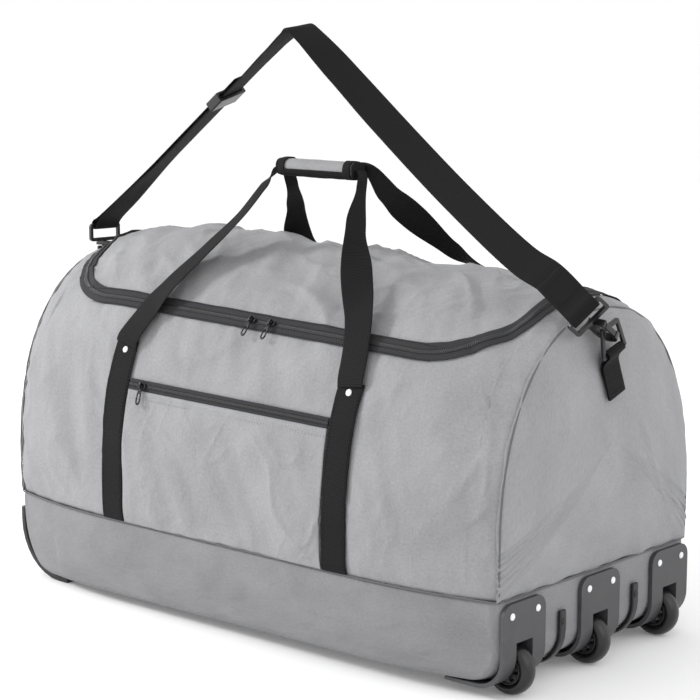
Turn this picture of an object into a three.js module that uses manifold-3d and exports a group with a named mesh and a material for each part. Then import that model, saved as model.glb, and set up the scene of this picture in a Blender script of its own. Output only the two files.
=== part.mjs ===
import * as THREE from 'three';
import { mergeVertices } from 'three/addons/utils/BufferGeometryUtils.js';
import Module from 'manifold-3d';

// Rolling duffel bag. Millimetres, +Z up, +X towards the wheel end, front at -Y, floor at z = 0.
const wasm = await Module();
wasm.setup();

const BAG_HALF_LENGTH = 424;
const PLATEAU = 222;
const HALF_WIDTH_MID = 227;
const HALF_WIDTH_END = 199;
const TOP_MID = 482;
const TOP_SLOPE = -0.045;
const TOP_DROP_LEFT = 43;
const TOP_DROP_RIGHT = 19;
const SHOULDER_Z = 180;
const SEAM_Z = 122;
const ROUNDNESS = 2.2;
const SKIN = 4;
const END_BULGE = 16;
const DOME_POWER = 2;
const BASE_Z_LEFT = 9;
const BASE_Z_RIGHT = 20;

const ZIP_FRONT_Y = -164;
const ZIP_HALF_SPAN = 385;
const ZIP_CORNER = 58;
const ZIP_HALF_TAPE = 12;
const ZIP_EDGE = 4;

const WEBBING = 40;
const WEBBING_T = 2;
const STRAP_X = 198;
const RIVET_Z = 343;
const GRIP = [0, -34, 590];
const GRIP_LENGTH = 135;
const GRIP_SIZE = 30;

const WHEEL_Y = [-155, 0, 155];
const WHEEL_NAMES = ['front', 'middle', 'rear'];
const WHEEL_R = 31.5;
const WHEEL_W = 25;
const AXLE = [411, 31.5];
const AXLE_R = 3;
const PLATE_X0 = 425.6;
const PLATE_X1 = 430.6;
const HOUSING_W = 82;
const HOUSING_TOP = 118;

const RING_X = 452;
const RING_Y = -8;
const HOOK_Z = 417;
const JAW_Z = 415.6;
const TAB_FOOT_Z = 342;
const TAB_SHIFT = 10;
const TAB_LEAN = Math.PI * 18 / 180;
const HOOK_LEAN = Math.PI * 58 / 180;
const FRAME_TURN = Math.PI * 32 / 180;
const LEFT_FRAME_TURN = Math.PI * 6.8 / 180;

const COLOURS = {
  fabric: [0xb2b2b4, 0.92, 0],
  tray: [0xa4a4a6, 0.92, 0],
  lining: [0x3c3c3e, 0.9, 0],
  webbing: [0x29292b, 0.85, 0],
  tape: [0x46464a, 0.85, 0],
  housing: [0x4c4c4e, 0.5, 0],
  rubber: [0x2b2b2d, 0.6, 0],
  hub: [0x3a3a3c, 0.45, 0],
  plastic: [0x262628, 0.45, 0],
  metal: [0xd8d8da, 0.3, 0.9],
  gunmetal: [0x3a3a3e, 0.4, 0.8],
  board: [0x6a5a48, 0.8, 0],
};

const group = new THREE.Group();
group.name = 'rolling_duffel_bag';

const add = (name, geometry, look) => {
  const [color, roughness, metalness] = COLOURS[look];
  const material = new THREE.MeshStandardMaterial({ color, roughness, metalness });
  const mesh = new THREE.Mesh(geometry, material);
  mesh.name = name;
  group.add(mesh);
  return mesh;
};

// ---- closed solids from plain lists ----
const fromLists = (points, faces) => {
  const g = new THREE.BufferGeometry();
  g.setAttribute('position', new THREE.Float32BufferAttribute(points.flat(), 3));
  g.setIndex(faces.flat());
  g.computeVertexNormals();
  return g;
};

const toSolid = (geometry) => {
  const bare = new THREE.BufferGeometry();
  bare.setAttribute('position', geometry.attributes.position);
  if (geometry.index) bare.setIndex(geometry.index);
  const g = mergeVertices(bare, 1e-4);
  return new wasm.Manifold(new wasm.Mesh({
    numProp: 3,
    vertProperties: new Float32Array(g.attributes.position.array),
    triVerts: new Uint32Array(g.index.array),
  }));
};

const fromSolid = (solid) => {
  const mesh = solid.getMesh();
  const g = new THREE.BufferGeometry();
  g.setAttribute('position', new THREE.BufferAttribute(new Float32Array(mesh.vertProperties), 3));
  g.setIndex(Array.from(mesh.triVerts));
  g.computeVertexNormals();
  return g;
};

const union = (...parts) => fromSolid(parts.map(toSolid).reduce((a, b) => a.add(b)));
const cut = (base, ...tools) => {
  return fromSolid(tools.map(toSolid).reduce((a, b) => a.subtract(b), toSolid(base)));
};
const common = (a, b) => fromSolid(toSolid(a).intersect(toSolid(b)));

const box = (x0, x1, y0, y1, z0, z1) => {
  const g = new THREE.BoxGeometry(x1 - x0, y1 - y0, z1 - z0);
  return g.translate((x0 + x1) / 2, (y0 + y1) / 2, (z0 + z1) / 2);
};

// outline in the XZ plane, thickness along Y
const plateXZ = (shape, y0, y1, segments = 6) => {
  const g = new THREE.ExtrudeGeometry(shape, { depth: y1 - y0, bevelEnabled: false, curveSegments: segments });
  g.rotateX(Math.PI / 2);
  return g.translate(0, y1, 0);
};

// outline in the YZ plane, thickness along X
const plateYZ = (shape, x0, x1, segments = 6) => {
  const g = new THREE.ExtrudeGeometry(shape, { depth: x1 - x0, bevelEnabled: false, curveSegments: segments });
  g.applyMatrix4(new THREE.Matrix4().set(0, 0, 1, 0, 1, 0, 0, 0, 0, 1, 0, 0, 0, 0, 0, 1));
  return g.translate(x0, 0, 0);
};

// profile of [radius, along] turned about an axis direction
const turned = (profile, at, axis, segments = 20) => {
  const g = new THREE.LatheGeometry(profile.map(([r, h]) => new THREE.Vector2(r, h)), segments);
  const q = new THREE.Quaternion().setFromUnitVectors(new THREE.Vector3(0, 1, 0), axis.clone().normalize());
  g.applyQuaternion(q);
  return g.translate(at.x, at.y, at.z);
};

const V = (x, y, z) => new THREE.Vector3(x, y, z);

const roundedShape = (u0, u1, v0, v1, r) => {
  const s = new THREE.Shape();
  s.moveTo(u0 + r, v0);
  s.lineTo(u1 - r, v0);
  s.absarc(u1 - r, v0 + r, r, -Math.PI / 2, 0, false);
  s.lineTo(u1, v1 - r);
  s.absarc(u1 - r, v1 - r, r, 0, Math.PI / 2, false);
  s.lineTo(u0 + r, v1);
  s.absarc(u0 + r, v1 - r, r, Math.PI / 2, Math.PI, false);
  s.lineTo(u0, v0 + r);
  s.absarc(u0 + r, v0 + r, r, Math.PI, Math.PI * 1.5, false);
  return s;
};

// ---- bag skin: side walls rise straight, then a rounded top ----
const endEase = (x) => Math.max(0, (Math.abs(x) - PLATEAU) / (425 - PLATEAU)) ** 2;
const halfWidth = (x) => HALF_WIDTH_MID - (HALF_WIDTH_MID - HALF_WIDTH_END) * endEase(x);
const topZ = (x) => TOP_MID + TOP_SLOPE * x - (x < 0 ? TOP_DROP_LEFT : TOP_DROP_RIGHT) * endEase(x);

const sectionPoint = (x, q) => {
  const w = halfWidth(x);
  if (q <= 0) return [-w, SHOULDER_Z + q * (SHOULDER_Z - SEAM_Z)];
  if (q >= 2) return [w, SHOULDER_Z - (q - 2) * (SHOULDER_Z - SEAM_Z)];
  const angle = q * Math.PI / 2;
  const c = Math.cos(angle);
  const y = -Math.sign(c) * w * Math.abs(c) ** (2 / ROUNDNESS);
  const z = SHOULDER_Z + (topZ(x) - SHOULDER_Z) * Math.sin(angle) ** (2 / ROUNDNESS);
  return [y, z];
};

// arc length on the middle section gives the across-the-bag coordinate s, 0 at the top
const arcTable = [];
const TABLE_STEPS = 800;
for (let i = 0, sum = 0, last = null; i <= TABLE_STEPS; i++) {
  const q = -1 + 4 * i / TABLE_STEPS;
  const p = sectionPoint(0, q);
  if (last) sum += Math.hypot(p[0] - last[0], p[1] - last[1]);
  arcTable.push([sum, q, p[0]]);
  last = p;
}
const ARC_HALF = arcTable[TABLE_STEPS][0] / 2;
const qAt = (s) => {
  const want = s + ARC_HALF;
  let lo = 0;
  let hi = TABLE_STEPS;
  while (hi - lo > 1) {
    const mid = (lo + hi) >> 1;
    if (arcTable[mid][0] <= want) lo = mid;
    else hi = mid;
  }
  const [a, qa] = arcTable[lo];
  const [b, qb] = arcTable[hi];
  return qa + (qb - qa) * (want - a) / (b - a);
};
const sWhere = (test) => arcTable.find(test)[0] - ARC_HALF;
const S_ZIP = sWhere((row) => row[2] > ZIP_FRONT_Y && row[1] > 0);
const S_REAR = -S_ZIP;
const S_RIVET = sWhere((row) => sectionPoint(0, row[1])[1] > RIVET_Z);

const skinRaw = (x, s) => {
  const [y, z] = sectionPoint(x, qAt(THREE.MathUtils.clamp(s, -ARC_HALF, ARC_HALF)));
  return V(x, y, z);
};
const skinNormal = (x, s) => {
  const e = 3;
  const sc = THREE.MathUtils.clamp(s, -ARC_HALF + e, ARC_HALF - e);
  const across = skinRaw(x, sc + e).sub(skinRaw(x, sc - e));
  const along = skinRaw(x + 1, sc).sub(skinRaw(x - 1, sc));
  return along.cross(across).normalize();
};
const skin = (x, s, off) => skinRaw(x, s).addScaledVector(skinNormal(x, s), off);

// thin curved slab over a grid of cells; cells may be left open
const slab = (nu, nv, outer, inner, active = () => true) => {
  const points = [];
  const ids = new Map();
  const id = (i, j, side) => {
    const key = `${i},${j},${side}`;
    if (!ids.has(key)) {
      ids.set(key, points.length);
      const p = side ? inner(i, j) : outer(i, j);
      points.push([p.x, p.y, p.z]);
    }
    return ids.get(key);
  };
  const on = (i, j) => i >= 0 && j >= 0 && i < nu && j < nv && active(i, j);
  const faces = [];
  const quad = (a, b, c, d) => faces.push([a, b, c], [a, c, d]);
  for (let i = 0; i < nu; i++) {
    for (let j = 0; j < nv; j++) {
      if (!on(i, j)) continue;
      const corners = [[i, j], [i + 1, j], [i + 1, j + 1], [i, j + 1]];
      const o = corners.map(([a, b]) => id(a, b, 0));
      const n = corners.map(([a, b]) => id(a, b, 1));
      quad(o[0], o[1], o[2], o[3]);
      quad(n[3], n[2], n[1], n[0]);
      const beside = [[i, j - 1], [i + 1, j], [i, j + 1], [i - 1, j]];
      beside.forEach(([a, b], k) => {
        if (on(a, b)) return;
        const next = (k + 1) % 4;
        quad(o[next], o[k], n[k], n[next]);
      });
    }
  }
  return fromLists(points, faces);
};

const steps = (from, to, n) => Array.from({ length: n + 1 }, (_, i) => from + (to - from) * i / n);

// ---- body wrap with the U-shaped opening ----
const holeX = ZIP_HALF_SPAN + ZIP_EDGE;
const outerCorner = ZIP_CORNER + ZIP_EDGE;
const halfColumns = [0, 111, 222, 262, 298, holeX - outerCorner, 346, 363, 377, 386, holeX, 406, BAG_HALF_LENGTH];
const columns = [...halfColumns.slice(1).reverse().map((x) => -x), ...halfColumns];
const rowsBelow = steps(-ARC_HALF, S_ZIP - ZIP_EDGE, 9);
const rowsHole = steps(S_ZIP - ZIP_EDGE, S_REAR + 0.4, 13);
const rowsBehind = steps(S_REAR + 0.4, ARC_HALF, 8);
const rows = [...rowsBelow, ...rowsHole.slice(1), ...rowsBehind.slice(1)];
const frontRow = rowsBelow.length - 1;
const rearRow = frontRow + rowsHole.length - 1;
const cornerRise = (x) => {
  const d = Math.abs(x) - (holeX - outerCorner);
  if (d <= 0) return 0;
  if (Math.abs(x) > holeX) return outerCorner * (1 - (Math.abs(x) - holeX) / 60);
  return outerCorner - Math.sqrt(Math.max(0, outerCorner ** 2 - d ** 2));
};
const wrapS = (x, j) => {
  const away = j <= frontRow ? (frontRow - j) / 5 : (j - frontRow) / 6;
  return rows[j] + cornerRise(x) * Math.max(0, 1 - away);
};
const inHole = (i, j) => {
  return columns[i] >= -holeX && columns[i + 1] <= holeX && j >= frontRow && j < rearRow;
};
add('body_wrap', slab(
  columns.length - 1,
  rows.length - 1,
  (i, j) => skin(columns[i], wrapS(columns[i], j), 0),
  (i, j) => skin(columns[i], wrapS(columns[i], j), -SKIN),
  (i, j) => !inHole(i, j),
), 'fabric');

// ---- lid flap with rounded front corners ----
const lidX = ZIP_HALF_SPAN - ZIP_EDGE;
const lidCorner = ZIP_CORNER - ZIP_EDGE;
const lidRows = [0, 1.5, 5, 11, 19, 29, 41, lidCorner, 80, 110, 140, 170, 200, 230, 260, 290, 320];
const lidSpan = S_REAR - S_ZIP - ZIP_EDGE;
const lidDepths = [...lidRows.filter((d) => d < lidSpan - 12), lidSpan];
const lidColumns = [-1, -0.92, -0.82, -0.7, -0.58, -0.3, 0, 0.3, 0.58, 0.7, 0.82, 0.92, 1];
const lidPoint = (i, j, off) => {
  const d = lidDepths[j];
  const reach = d >= lidCorner ? 0 : lidCorner - Math.sqrt(lidCorner ** 2 - (lidCorner - d) ** 2);
  const x = lidColumns[i] * (lidX - reach);
  return skin(x, S_ZIP + ZIP_EDGE + d, off);
};
add('lid_flap', slab(
  lidColumns.length - 1,
  lidDepths.length - 1,
  (i, j) => lidPoint(i, j, 0),
  (i, j) => lidPoint(i, j, -SKIN),
), 'fabric');

// ---- U-shaped zip tape over the opening edge ----
const zipPath = [];
const legTop = S_REAR - 6;
for (const s of steps(legTop, S_ZIP + ZIP_CORNER, 12)) zipPath.push([-ZIP_HALF_SPAN, s, -1, 0]);
for (const a of steps(0, Math.PI / 2, 7).slice(1)) {
  const c = Math.cos(a);
  const n = Math.sin(a);
  zipPath.push([-ZIP_HALF_SPAN + ZIP_CORNER * (1 - c), S_ZIP + ZIP_CORNER * (1 - n), -c, -n]);
}
for (const x of [-280, -222, -110, 0, 110, 222, 280]) zipPath.push([x, S_ZIP, 0, -1]);
for (const a of steps(Math.PI / 2, 0, 7)) {
  const c = Math.cos(a);
  const n = Math.sin(a);
  zipPath.push([ZIP_HALF_SPAN - ZIP_CORNER * (1 - c), S_ZIP + ZIP_CORNER * (1 - n), c, -n]);
}
for (const s of steps(S_ZIP + ZIP_CORNER, legTop, 12).slice(1)) zipPath.push([ZIP_HALF_SPAN, s, 1, 0]);
const tapePoint = (i, j, off) => {
  const [x, s, nx, ns] = zipPath[i];
  const across = (1 - j) * ZIP_HALF_TAPE;
  return skin(x + nx * across, s + ns * across, off);
};
add('main_zip_tape', slab(
  zipPath.length - 1,
  2,
  (i, j) => tapePoint(i, j, 2.7),
  (i, j) => tapePoint(i, j, 1.1),
), 'tape');

// ---- end panels: domed D shapes that close the two ends ----
const endCentreZ = 285;
const endRing = (side, k, n, inset) => {
  const x = side * BAG_HALF_LENGTH;
  const lower = 0.22;
  const f = k / n;
  if (f < lower) {
    const w = halfWidth(x) - inset;
    return [w - 2 * w * f / lower, SEAM_Z + 0.4];
  }
  const q = -1 + 4 * (f - lower) / (1 - lower);
  const [y, z] = sectionPoint(x, q);
  const scale = 1 - inset / 200;
  return [y * scale, Math.max(SEAM_Z + 0.4, endCentreZ + (z - endCentreZ) * scale)];
};
const endPanel = (side) => {
  const n = 32;
  const levels = [1, 0.92, 0.74, 0.45];
  const base = side * (BAG_HALF_LENGTH + 0.4);
  const points = [];
  const faces = [];
  const layer = (depth, shift) => {
    const start = points.length;
    for (const r of levels) {
      for (let k = 0; k < n; k++) {
        const [y, z] = endRing(side, k, n, depth);
        const dome = END_BULGE * (1 - r ** DOME_POWER);
        points.push([base + side * (dome + shift), y * r, endCentreZ + (z - endCentreZ) * r]);
      }
    }
    points.push([base + side * (END_BULGE + shift), 0, endCentreZ]);
    return start;
  };
  const outer = layer(0, SKIN);
  const inner = layer(0, 0);
  const last = levels.length - 1;
  const quad = (a, b, c, d) => faces.push([a, b, c], [a, c, d]);
  for (let k = 0; k < n; k++) {
    const m = (k + 1) % n;
    for (let l = 0; l < last; l++) {
      quad(outer + l * n + k, outer + l * n + m, outer + (l + 1) * n + m, outer + (l + 1) * n + k);
      quad(inner + l * n + m, inner + l * n + k, inner + (l + 1) * n + k, inner + (l + 1) * n + m);
    }
    faces.push([outer + last * n + k, outer + last * n + m, outer + levels.length * n]);
    faces.push([inner + last * n + m, inner + last * n + k, inner + levels.length * n]);
    quad(outer + m, outer + k, inner + k, inner + m);
  }
  if (side > 0) faces.forEach((f) => f.reverse());
  return fromLists(points, faces);
};
add('end_panel_left', endPanel(-1), 'fabric');
add('end_panel_right', endPanel(1), 'fabric');

const domeX = (y, z) => {
  // height of the end dome above the end seam, found on the ring through this point
  const dy = y;
  const dz = z - endCentreZ;
  let r = 1;
  const n = 200;
  let best = 1e9;
  for (let k = 0; k < n; k++) {
    const [ry, rz] = endRing(1, k, n, 0);
    const len = Math.hypot(ry, rz - endCentreZ);
    const off = Math.abs(Math.atan2(ry, rz - endCentreZ) - Math.atan2(dy, dz));
    if (off < best) {
      best = off;
      r = Math.hypot(dy, dz) / len;
    }
  }
  return BAG_HALF_LENGTH + 0.4 + SKIN + END_BULGE * (1 - Math.min(1, r) ** DOME_POWER);
};

// ---- bottom tray: plan outline lofted from the floor to the band seam ----
const baseZ = (x) => BASE_Z_LEFT + (BASE_Z_RIGHT - BASE_Z_LEFT) * (x + 425) / 850;
const trayRing = (f, inset, lift) => {
  const height = f * (SEAM_Z - 12);
  const arcIn = (r) => (height >= r ? 0 : r - Math.sqrt(r * r - (r - height) ** 2));
  const left = -(BAG_HALF_LENGTH - inset - arcIn(70));
  const right = BAG_HALF_LENGTH - inset - arcIn(44);
  const narrow = 9 * (1 - f) + arcIn(12);
  const corner = 14;
  const ring = [];
  const edge = (x) => halfWidth(Math.min(420, Math.abs(x))) - narrow - inset;
  const xs = [...steps(left + corner, -PLATEAU, 5), -110, 0, 110, ...steps(PLATEAU, right - corner, 5)];
  const front = xs.map((x) => [x, -edge(x)]);
  const bend = (cx, cy, from) => [1, 2, 3].map((k) => {
    const a = from + k * Math.PI / 8;
    return [cx + corner * Math.cos(a), cy + corner * Math.sin(a)];
  });
  const er = edge(right - corner);
  const el = edge(left + corner);
  ring.push(...front);
  ring.push(...bend(right - corner, -er + corner, -Math.PI / 2));
  ring.push(...steps(-er + corner, er - corner, 6).map((y) => [right, y]));
  ring.push(...bend(right - corner, er - corner, 0));
  ring.push(...front.slice().reverse().map(([x, y]) => [x, -y]));
  ring.push(...bend(left + corner, el - corner, Math.PI / 2));
  ring.push(...steps(el - corner, -el + corner, 6).map((y) => [left, y]));
  ring.push(...bend(left + corner, -el + corner, Math.PI));
  return ring.map(([x, y]) => {
    const z0 = baseZ(x) + lift;
    return [x, y, z0 + f * (SEAM_Z - 0.4 - z0)];
  });
};
const loft = (rings) => {
  const n = rings[0].length;
  const points = rings.flat();
  const faces = [];
  for (let l = 0; l + 1 < rings.length; l++) {
    for (let k = 0; k < n; k++) {
      const m = (k + 1) % n;
      const a = l * n;
      faces.push([a + k, a + m, a + n + m], [a + k, a + n + m, a + n + k]);
    }
  }
  const cap = (start, flip) => {
    const ring = points.slice(start, start + n);
    const c = [0, 1, 2].map((axis) => ring.reduce((t, p) => t + p[axis], 0) / n);
    const centre = points.length;
    points.push(c);
    for (let k = 0; k < n; k++) {
      const m = (k + 1) % n;
      faces.push(flip ? [start + m, start + k, centre] : [start + k, start + m, centre]);
    }
  };
  cap(0, true);
  cap((rings.length - 1) * n, false);
  return fromLists(points, faces);
};
const levelsUp = [0, 0.03, 0.08, 0.16, 0.28, 0.45, 0.64, 0.82, 1];
const trayOuter = levelsUp.map((f) => trayRing(f, 0, 0));
const trayInner = [1, 0.64, 0.28, 0.08, 0].map((f) => trayRing(f, SKIN, SKIN));
const tray = loft([...trayOuter, ...trayInner]);
const wells = WHEEL_Y.map((y) => box(368, 440, y - 22.5, y + 22.5, 0, 74));
add('bottom_tray', cut(tray, ...wells), 'tray');

// ---- stiff board lying on the tray floor ----
const boardTilt = Math.atan((BASE_Z_RIGHT - BASE_Z_LEFT) / 850);
const board = plateXZ(roundedShape(-338, 352, -1.5, 1.5, 1), -192, 192, 2);
board.applyMatrix4(new THREE.Matrix4().makeRotationY(-boardTilt));
board.translate(0, 0, baseZ(0) + SKIN + 3.4);
add('base_board', board, 'board');

// ---- front pocket ----
const POCKET_X = 176;
const sAtZ = (z) => sWhere((row) => sectionPoint(0, row[1])[1] > z);
const S_POCKET_ZIP = sAtZ(303);
const patch = (x0, x1, s0, s1, off, thick, nx, ns) => {
  const xs = steps(x0, x1, nx);
  const ss = steps(s0, s1, ns);
  return slab(nx, ns, (i, j) => skin(xs[i], ss[j], off + thick), (i, j) => skin(xs[i], ss[j], off));
};
add('pocket_panel', patch(-POCKET_X, POCKET_X, -ARC_HALF + 1, S_POCKET_ZIP - 8, 0.8, 2, 4, 12), 'fabric');
add('pocket_zip_tape', patch(-POCKET_X, POCKET_X, S_POCKET_ZIP - 7.4, S_POCKET_ZIP + 7.4, 0.8, 1.6, 4, 2), 'tape');

// ---- webbing sewn up the front and back, each end pinned by a rivet ----
const rivetProfile = [[0, -2.2], [1.8, -2.2], [1.8, 0], [4.3, 0], [4.3, 0.7], [3, 1.7], [0, 2]];
for (const [face, dir] of [['front', 1], ['rear', -1]]) {
  for (const [hand, sx] of [['left', -1], ['right', 1]]) {
    const x = sx * STRAP_X;
    const s0 = dir * (-ARC_HALF + 1);
    const s1 = dir * (S_RIVET + 12);
    const low = Math.min(s0, s1);
    const high = Math.max(s0, s1);
    const strap = patch(x - WEBBING / 2, x + WEBBING / 2, low, high, 0.8, WEBBING_T, 1, 12);
    const out = skinNormal(x, dir * S_RIVET);
    const seat = skin(x, dir * S_RIVET, 0.8 + WEBBING_T + 0.3);
    const drill = turned([[0, -6], [2.15, -6], [2.15, 6], [0, 6]], seat, out, 12);
    add(`sewn_strap_${face}_${hand}`, cut(strap, drill), 'webbing');
    add(`strap_rivet_${face}_${hand}`, turned(rivetProfile, seat, out, 10), 'metal');
  }
}

// ---- wheel housings, axles and wheels ----
const housing = (y) => {
  const r = 40;
  const z0 = 13.4;
  const side = new THREE.Shape();
  side.moveTo(344, z0);
  side.lineTo(PLATE_X1 - r, z0);
  side.absarc(PLATE_X1 - r, z0 + r, r, -Math.PI / 2, 0, false);
  side.lineTo(PLATE_X1, HOUSING_TOP);
  side.lineTo(PLATE_X0, HOUSING_TOP);
  side.lineTo(PLATE_X0, z0 + r + 1);
  side.absarc(PLATE_X0 - r + 5, z0 + r, r - 5, 0, -Math.PI / 2, true);
  side.lineTo(344, z0 + 4);
  side.closePath();
  const wrap = plateXZ(side, y - HOUSING_W / 2, y + HOUSING_W / 2, 6);
  const faceShape = roundedShape(y - HOUSING_W / 2, y + HOUSING_W / 2, -20, HOUSING_TOP, 16);
  const shaped = common(wrap, plateYZ(faceShape, 330, 440, 5));
  const filled = new THREE.Shape();
  filled.moveTo(344, z0);
  filled.lineTo(PLATE_X1 - r, z0);
  filled.absarc(PLATE_X1 - r, z0 + r, r, -Math.PI / 2, 0, false);
  filled.lineTo(PLATE_X1, HOUSING_TOP);
  filled.lineTo(344, HOUSING_TOP);
  filled.closePath();
  const block = box(371, PLATE_X0 + 1, y - 19, y + 19, z0 + 1, 72);
  const wellOuter = common(block, plateXZ(filled, y - 20, y + 20, 6));
  const wellInner = box(374, 445, y - 15.8, y + 15.8, -10, 69);
  const bore = turned([[0, -30], [AXLE_R + 0.3, -30], [AXLE_R + 0.3, 30], [0, 30]], V(AXLE[0], y, AXLE[1]), V(0, 1, 0), 16);
  const holes = [-25, 25].map((d) => {
    return turned([[0, -9], [2.15, -9], [2.15, 9], [0, 9]], V(PLATE_X1, y + d, 103), V(1, 0, 0), 12);
  });
  return cut(union(shaped, wellOuter), wellInner, bore, ...holes);
};
const axleProfile = [[0, -21.4], [4.6, -21.4], [4.6, -19.5], [AXLE_R, -19.5], [AXLE_R, 19.5], [4.6, 19.5], [4.6, 21.4], [0, 21.4]];
const tyreProfile = [];
for (const a of steps(-Math.PI / 2, Math.PI / 2, 6)) {
  tyreProfile.push([WHEEL_R - 11 + 11 * Math.cos(a), (WHEEL_W / 2) * Math.sin(a)]);
}
const tyreClosed = [[19, -7], ...tyreProfile, [19, 7], [19, -7]];
const hubShape = () => {
  const s = new THREE.Shape();
  s.absarc(0, 0, 18.6, 0, Math.PI * 2, false);
  const bore = new THREE.Path();
  bore.absarc(0, 0, AXLE_R + 0.3, 0, Math.PI * 2, true);
  s.holes.push(bore);
  for (let k = 0; k < 6; k++) {
    const a = k * Math.PI / 3;
    const hole = new THREE.Path();
    hole.absarc(11.4 * Math.cos(a), 11.4 * Math.sin(a), 3.6, 0, Math.PI * 2, true);
    s.holes.push(hole);
  }
  return s;
};
WHEEL_Y.forEach((y, index) => {
  const tag = WHEEL_NAMES[index];
  const centre = V(AXLE[0], y, AXLE[1]);
  add(`wheel_housing_${tag}`, housing(y), 'housing');
  add(`axle_${tag}`, turned(axleProfile, centre, V(0, 1, 0), 16), 'metal');
  add(`tyre_${tag}`, turned(tyreClosed, centre, V(0, 1, 0), 24), 'rubber');
  const hub = plateXZ(hubShape(), -9, 9, 5);
  hub.translate(centre.x, centre.y, centre.z);
  add(`wheel_hub_${tag}`, hub, 'hub');
  for (const [hand, d] of [['a', -25], ['b', 25]]) {
    const head = [[0, -4.4], [1.8, -4.4], [1.8, 0.3], [4.3, 0.3], [4.3, 1], [3, 2], [0, 2.3]];
    add(`housing_rivet_${tag}_${hand}`, turned(head, V(PLATE_X1, y + d, 103), V(1, 0, 0), 10), 'metal');
  }
});

// ---- skid ribs between the housings, and ribbed skids round the other end's corners ----
const lBar = (outerX, z0, r, thick, topEnd, farEnd, sign) => {
  const s = new THREE.Shape();
  const x = (v) => v * sign;
  const arc = (radius, from, to, n) => steps(from, to, n).map((a) => {
    return [x(outerX - r + radius * Math.cos(a)), z0 + r + radius * Math.sin(a)];
  });
  const pts = [
    [x(farEnd), z0],
    ...arc(r, -Math.PI / 2, 0, 8),
    [x(outerX), topEnd],
    [x(outerX - thick), topEnd],
    ...arc(r - thick, 0, -Math.PI / 2, 8),
    [x(farEnd), z0 + thick],
  ];
  pts.forEach(([a, b], k) => (k ? s.lineTo(a, b) : s.moveTo(a, b)));
  s.closePath();
  return s;
};
for (const [tag, y] of [['front', -77.5], ['rear', 77.5]]) {
  add(`skid_rib_${tag}`, plateXZ(lBar(PLATE_X1, 13, 50, 5, 88, 346, 1), y - 6, y + 6), 'plastic');
}
for (const [tag, y] of [['front', -183], ['rear', 183]]) {
  add(`corner_skid_${tag}`, plateXZ(lBar(432.4, 0, 78, 8, 97, 336, -1), y - 11, y + 11), 'plastic');
}

// ---- ribbons of webbing along a path, with the flat side kept by hand ----
const ribbon = (stations, width, thick, count) => {
  const curve = new THREE.CatmullRomCurve3(stations.map((s) => V(...s.p)), false, 'centripetal');
  const lengths = [];
  const n = stations.length - 1;
  const points = [];
  const faces = [];
  const total = count * n;
  for (let k = 0; k <= total; k++) {
    const t = k / total;
    const i = Math.min(n - 1, Math.floor(t * n));
    const f = t * n - i;
    const p = curve.getPoint(t);
    const tangent = curve.getTangent(t);
    const ease = f * f * (3 - 2 * f);
    const w = V(...stations[i].w).lerp(V(...stations[i + 1].w), ease);
    w.addScaledVector(tangent, -w.dot(tangent)).normalize();
    const normal = tangent.clone().cross(w).normalize();
    const wide = (stations[i].size ?? width) * (1 - ease) + (stations[i + 1].size ?? width) * ease;
    const a = w.clone().multiplyScalar(wide / 2);
    const b = normal.clone().multiplyScalar(thick / 2);
    for (const [u, v] of [[-1, -1], [1, -1], [1, 1], [-1, 1]]) {
      const q = p.clone().addScaledVector(a, u).addScaledVector(b, v);
      points.push([q.x, q.y, q.z]);
    }
    lengths.push(p);
  }
  for (let k = 0; k < total; k++) {
    for (let c = 0; c < 4; c++) {
      const m = (c + 1) % 4;
      const a = k * 4;
      // both flat sides share one diagonal, so a twisted length keeps its thickness
      if (c === 2) {
        faces.push([a + c, a + m, a + 4 + c], [a + m, a + 4 + m, a + 4 + c]);
      } else {
        faces.push([a + c, a + m, a + 4 + m], [a + c, a + 4 + m, a + 4 + c]);
      }
    }
  }
  const e = total * 4;
  faces.push([0, 2, 1], [0, 3, 2], [e, e + 1, e + 2], [e, e + 2, e + 3]);
  return fromLists(points, faces);
};

// ---- carry handles, hinged at the rivets, and the padded grip round the front one ----
const onSkin = (x, s, off) => skin(x, s, off).toArray();
const frontLeft = [
  { p: onSkin(-196, S_RIVET + 15, 6), w: [1, 0, 0] },
  { p: onSkin(-180, S_RIVET + 50, 7), w: [0.95, -0.2, -0.2] },
  { p: onSkin(-155, S_RIVET + 92, 15), w: [0.9, -0.4, -0.1] },
  { p: [-130, -112, 483], w: [0.815, -0.56, -0.15], size: 38 },
  { p: [-100, -80, 526], w: [0.79, -0.6, -0.1], size: 36 },
  { p: [-84, -52, 564], w: [0.72, -0.62, -0.3], size: 26 },
  { p: [-72, -34, 588.5], w: [0, -1, 0], size: 16 },
  { p: [-40, -34, 590], w: [0, -1, 0], size: 16 },
];
const frontRight = [
  { p: onSkin(197, S_RIVET + 15, 6), w: [-1, 0, 0] },
  { p: onSkin(190, S_RIVET + 50, 7), w: [-1, 0, 0] },
  { p: onSkin(178, S_RIVET + 92, 17), w: [-1, 0, 0.12] },
  { p: [148, -130, 472], w: [-0.9, -0.42, 0.12] },
  { p: [110, -88, 525], w: [-0.66, -0.45, 0.6], size: 28 },
  { p: [84, -48, 566], w: [-0.2, -0.8, 0.3], size: 16 },
  { p: [72, -34, 588.5], w: [0, -1, 0], size: 16 },
  { p: [40, -34, 590], w: [0, -1, 0], size: 16 },
];
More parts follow.
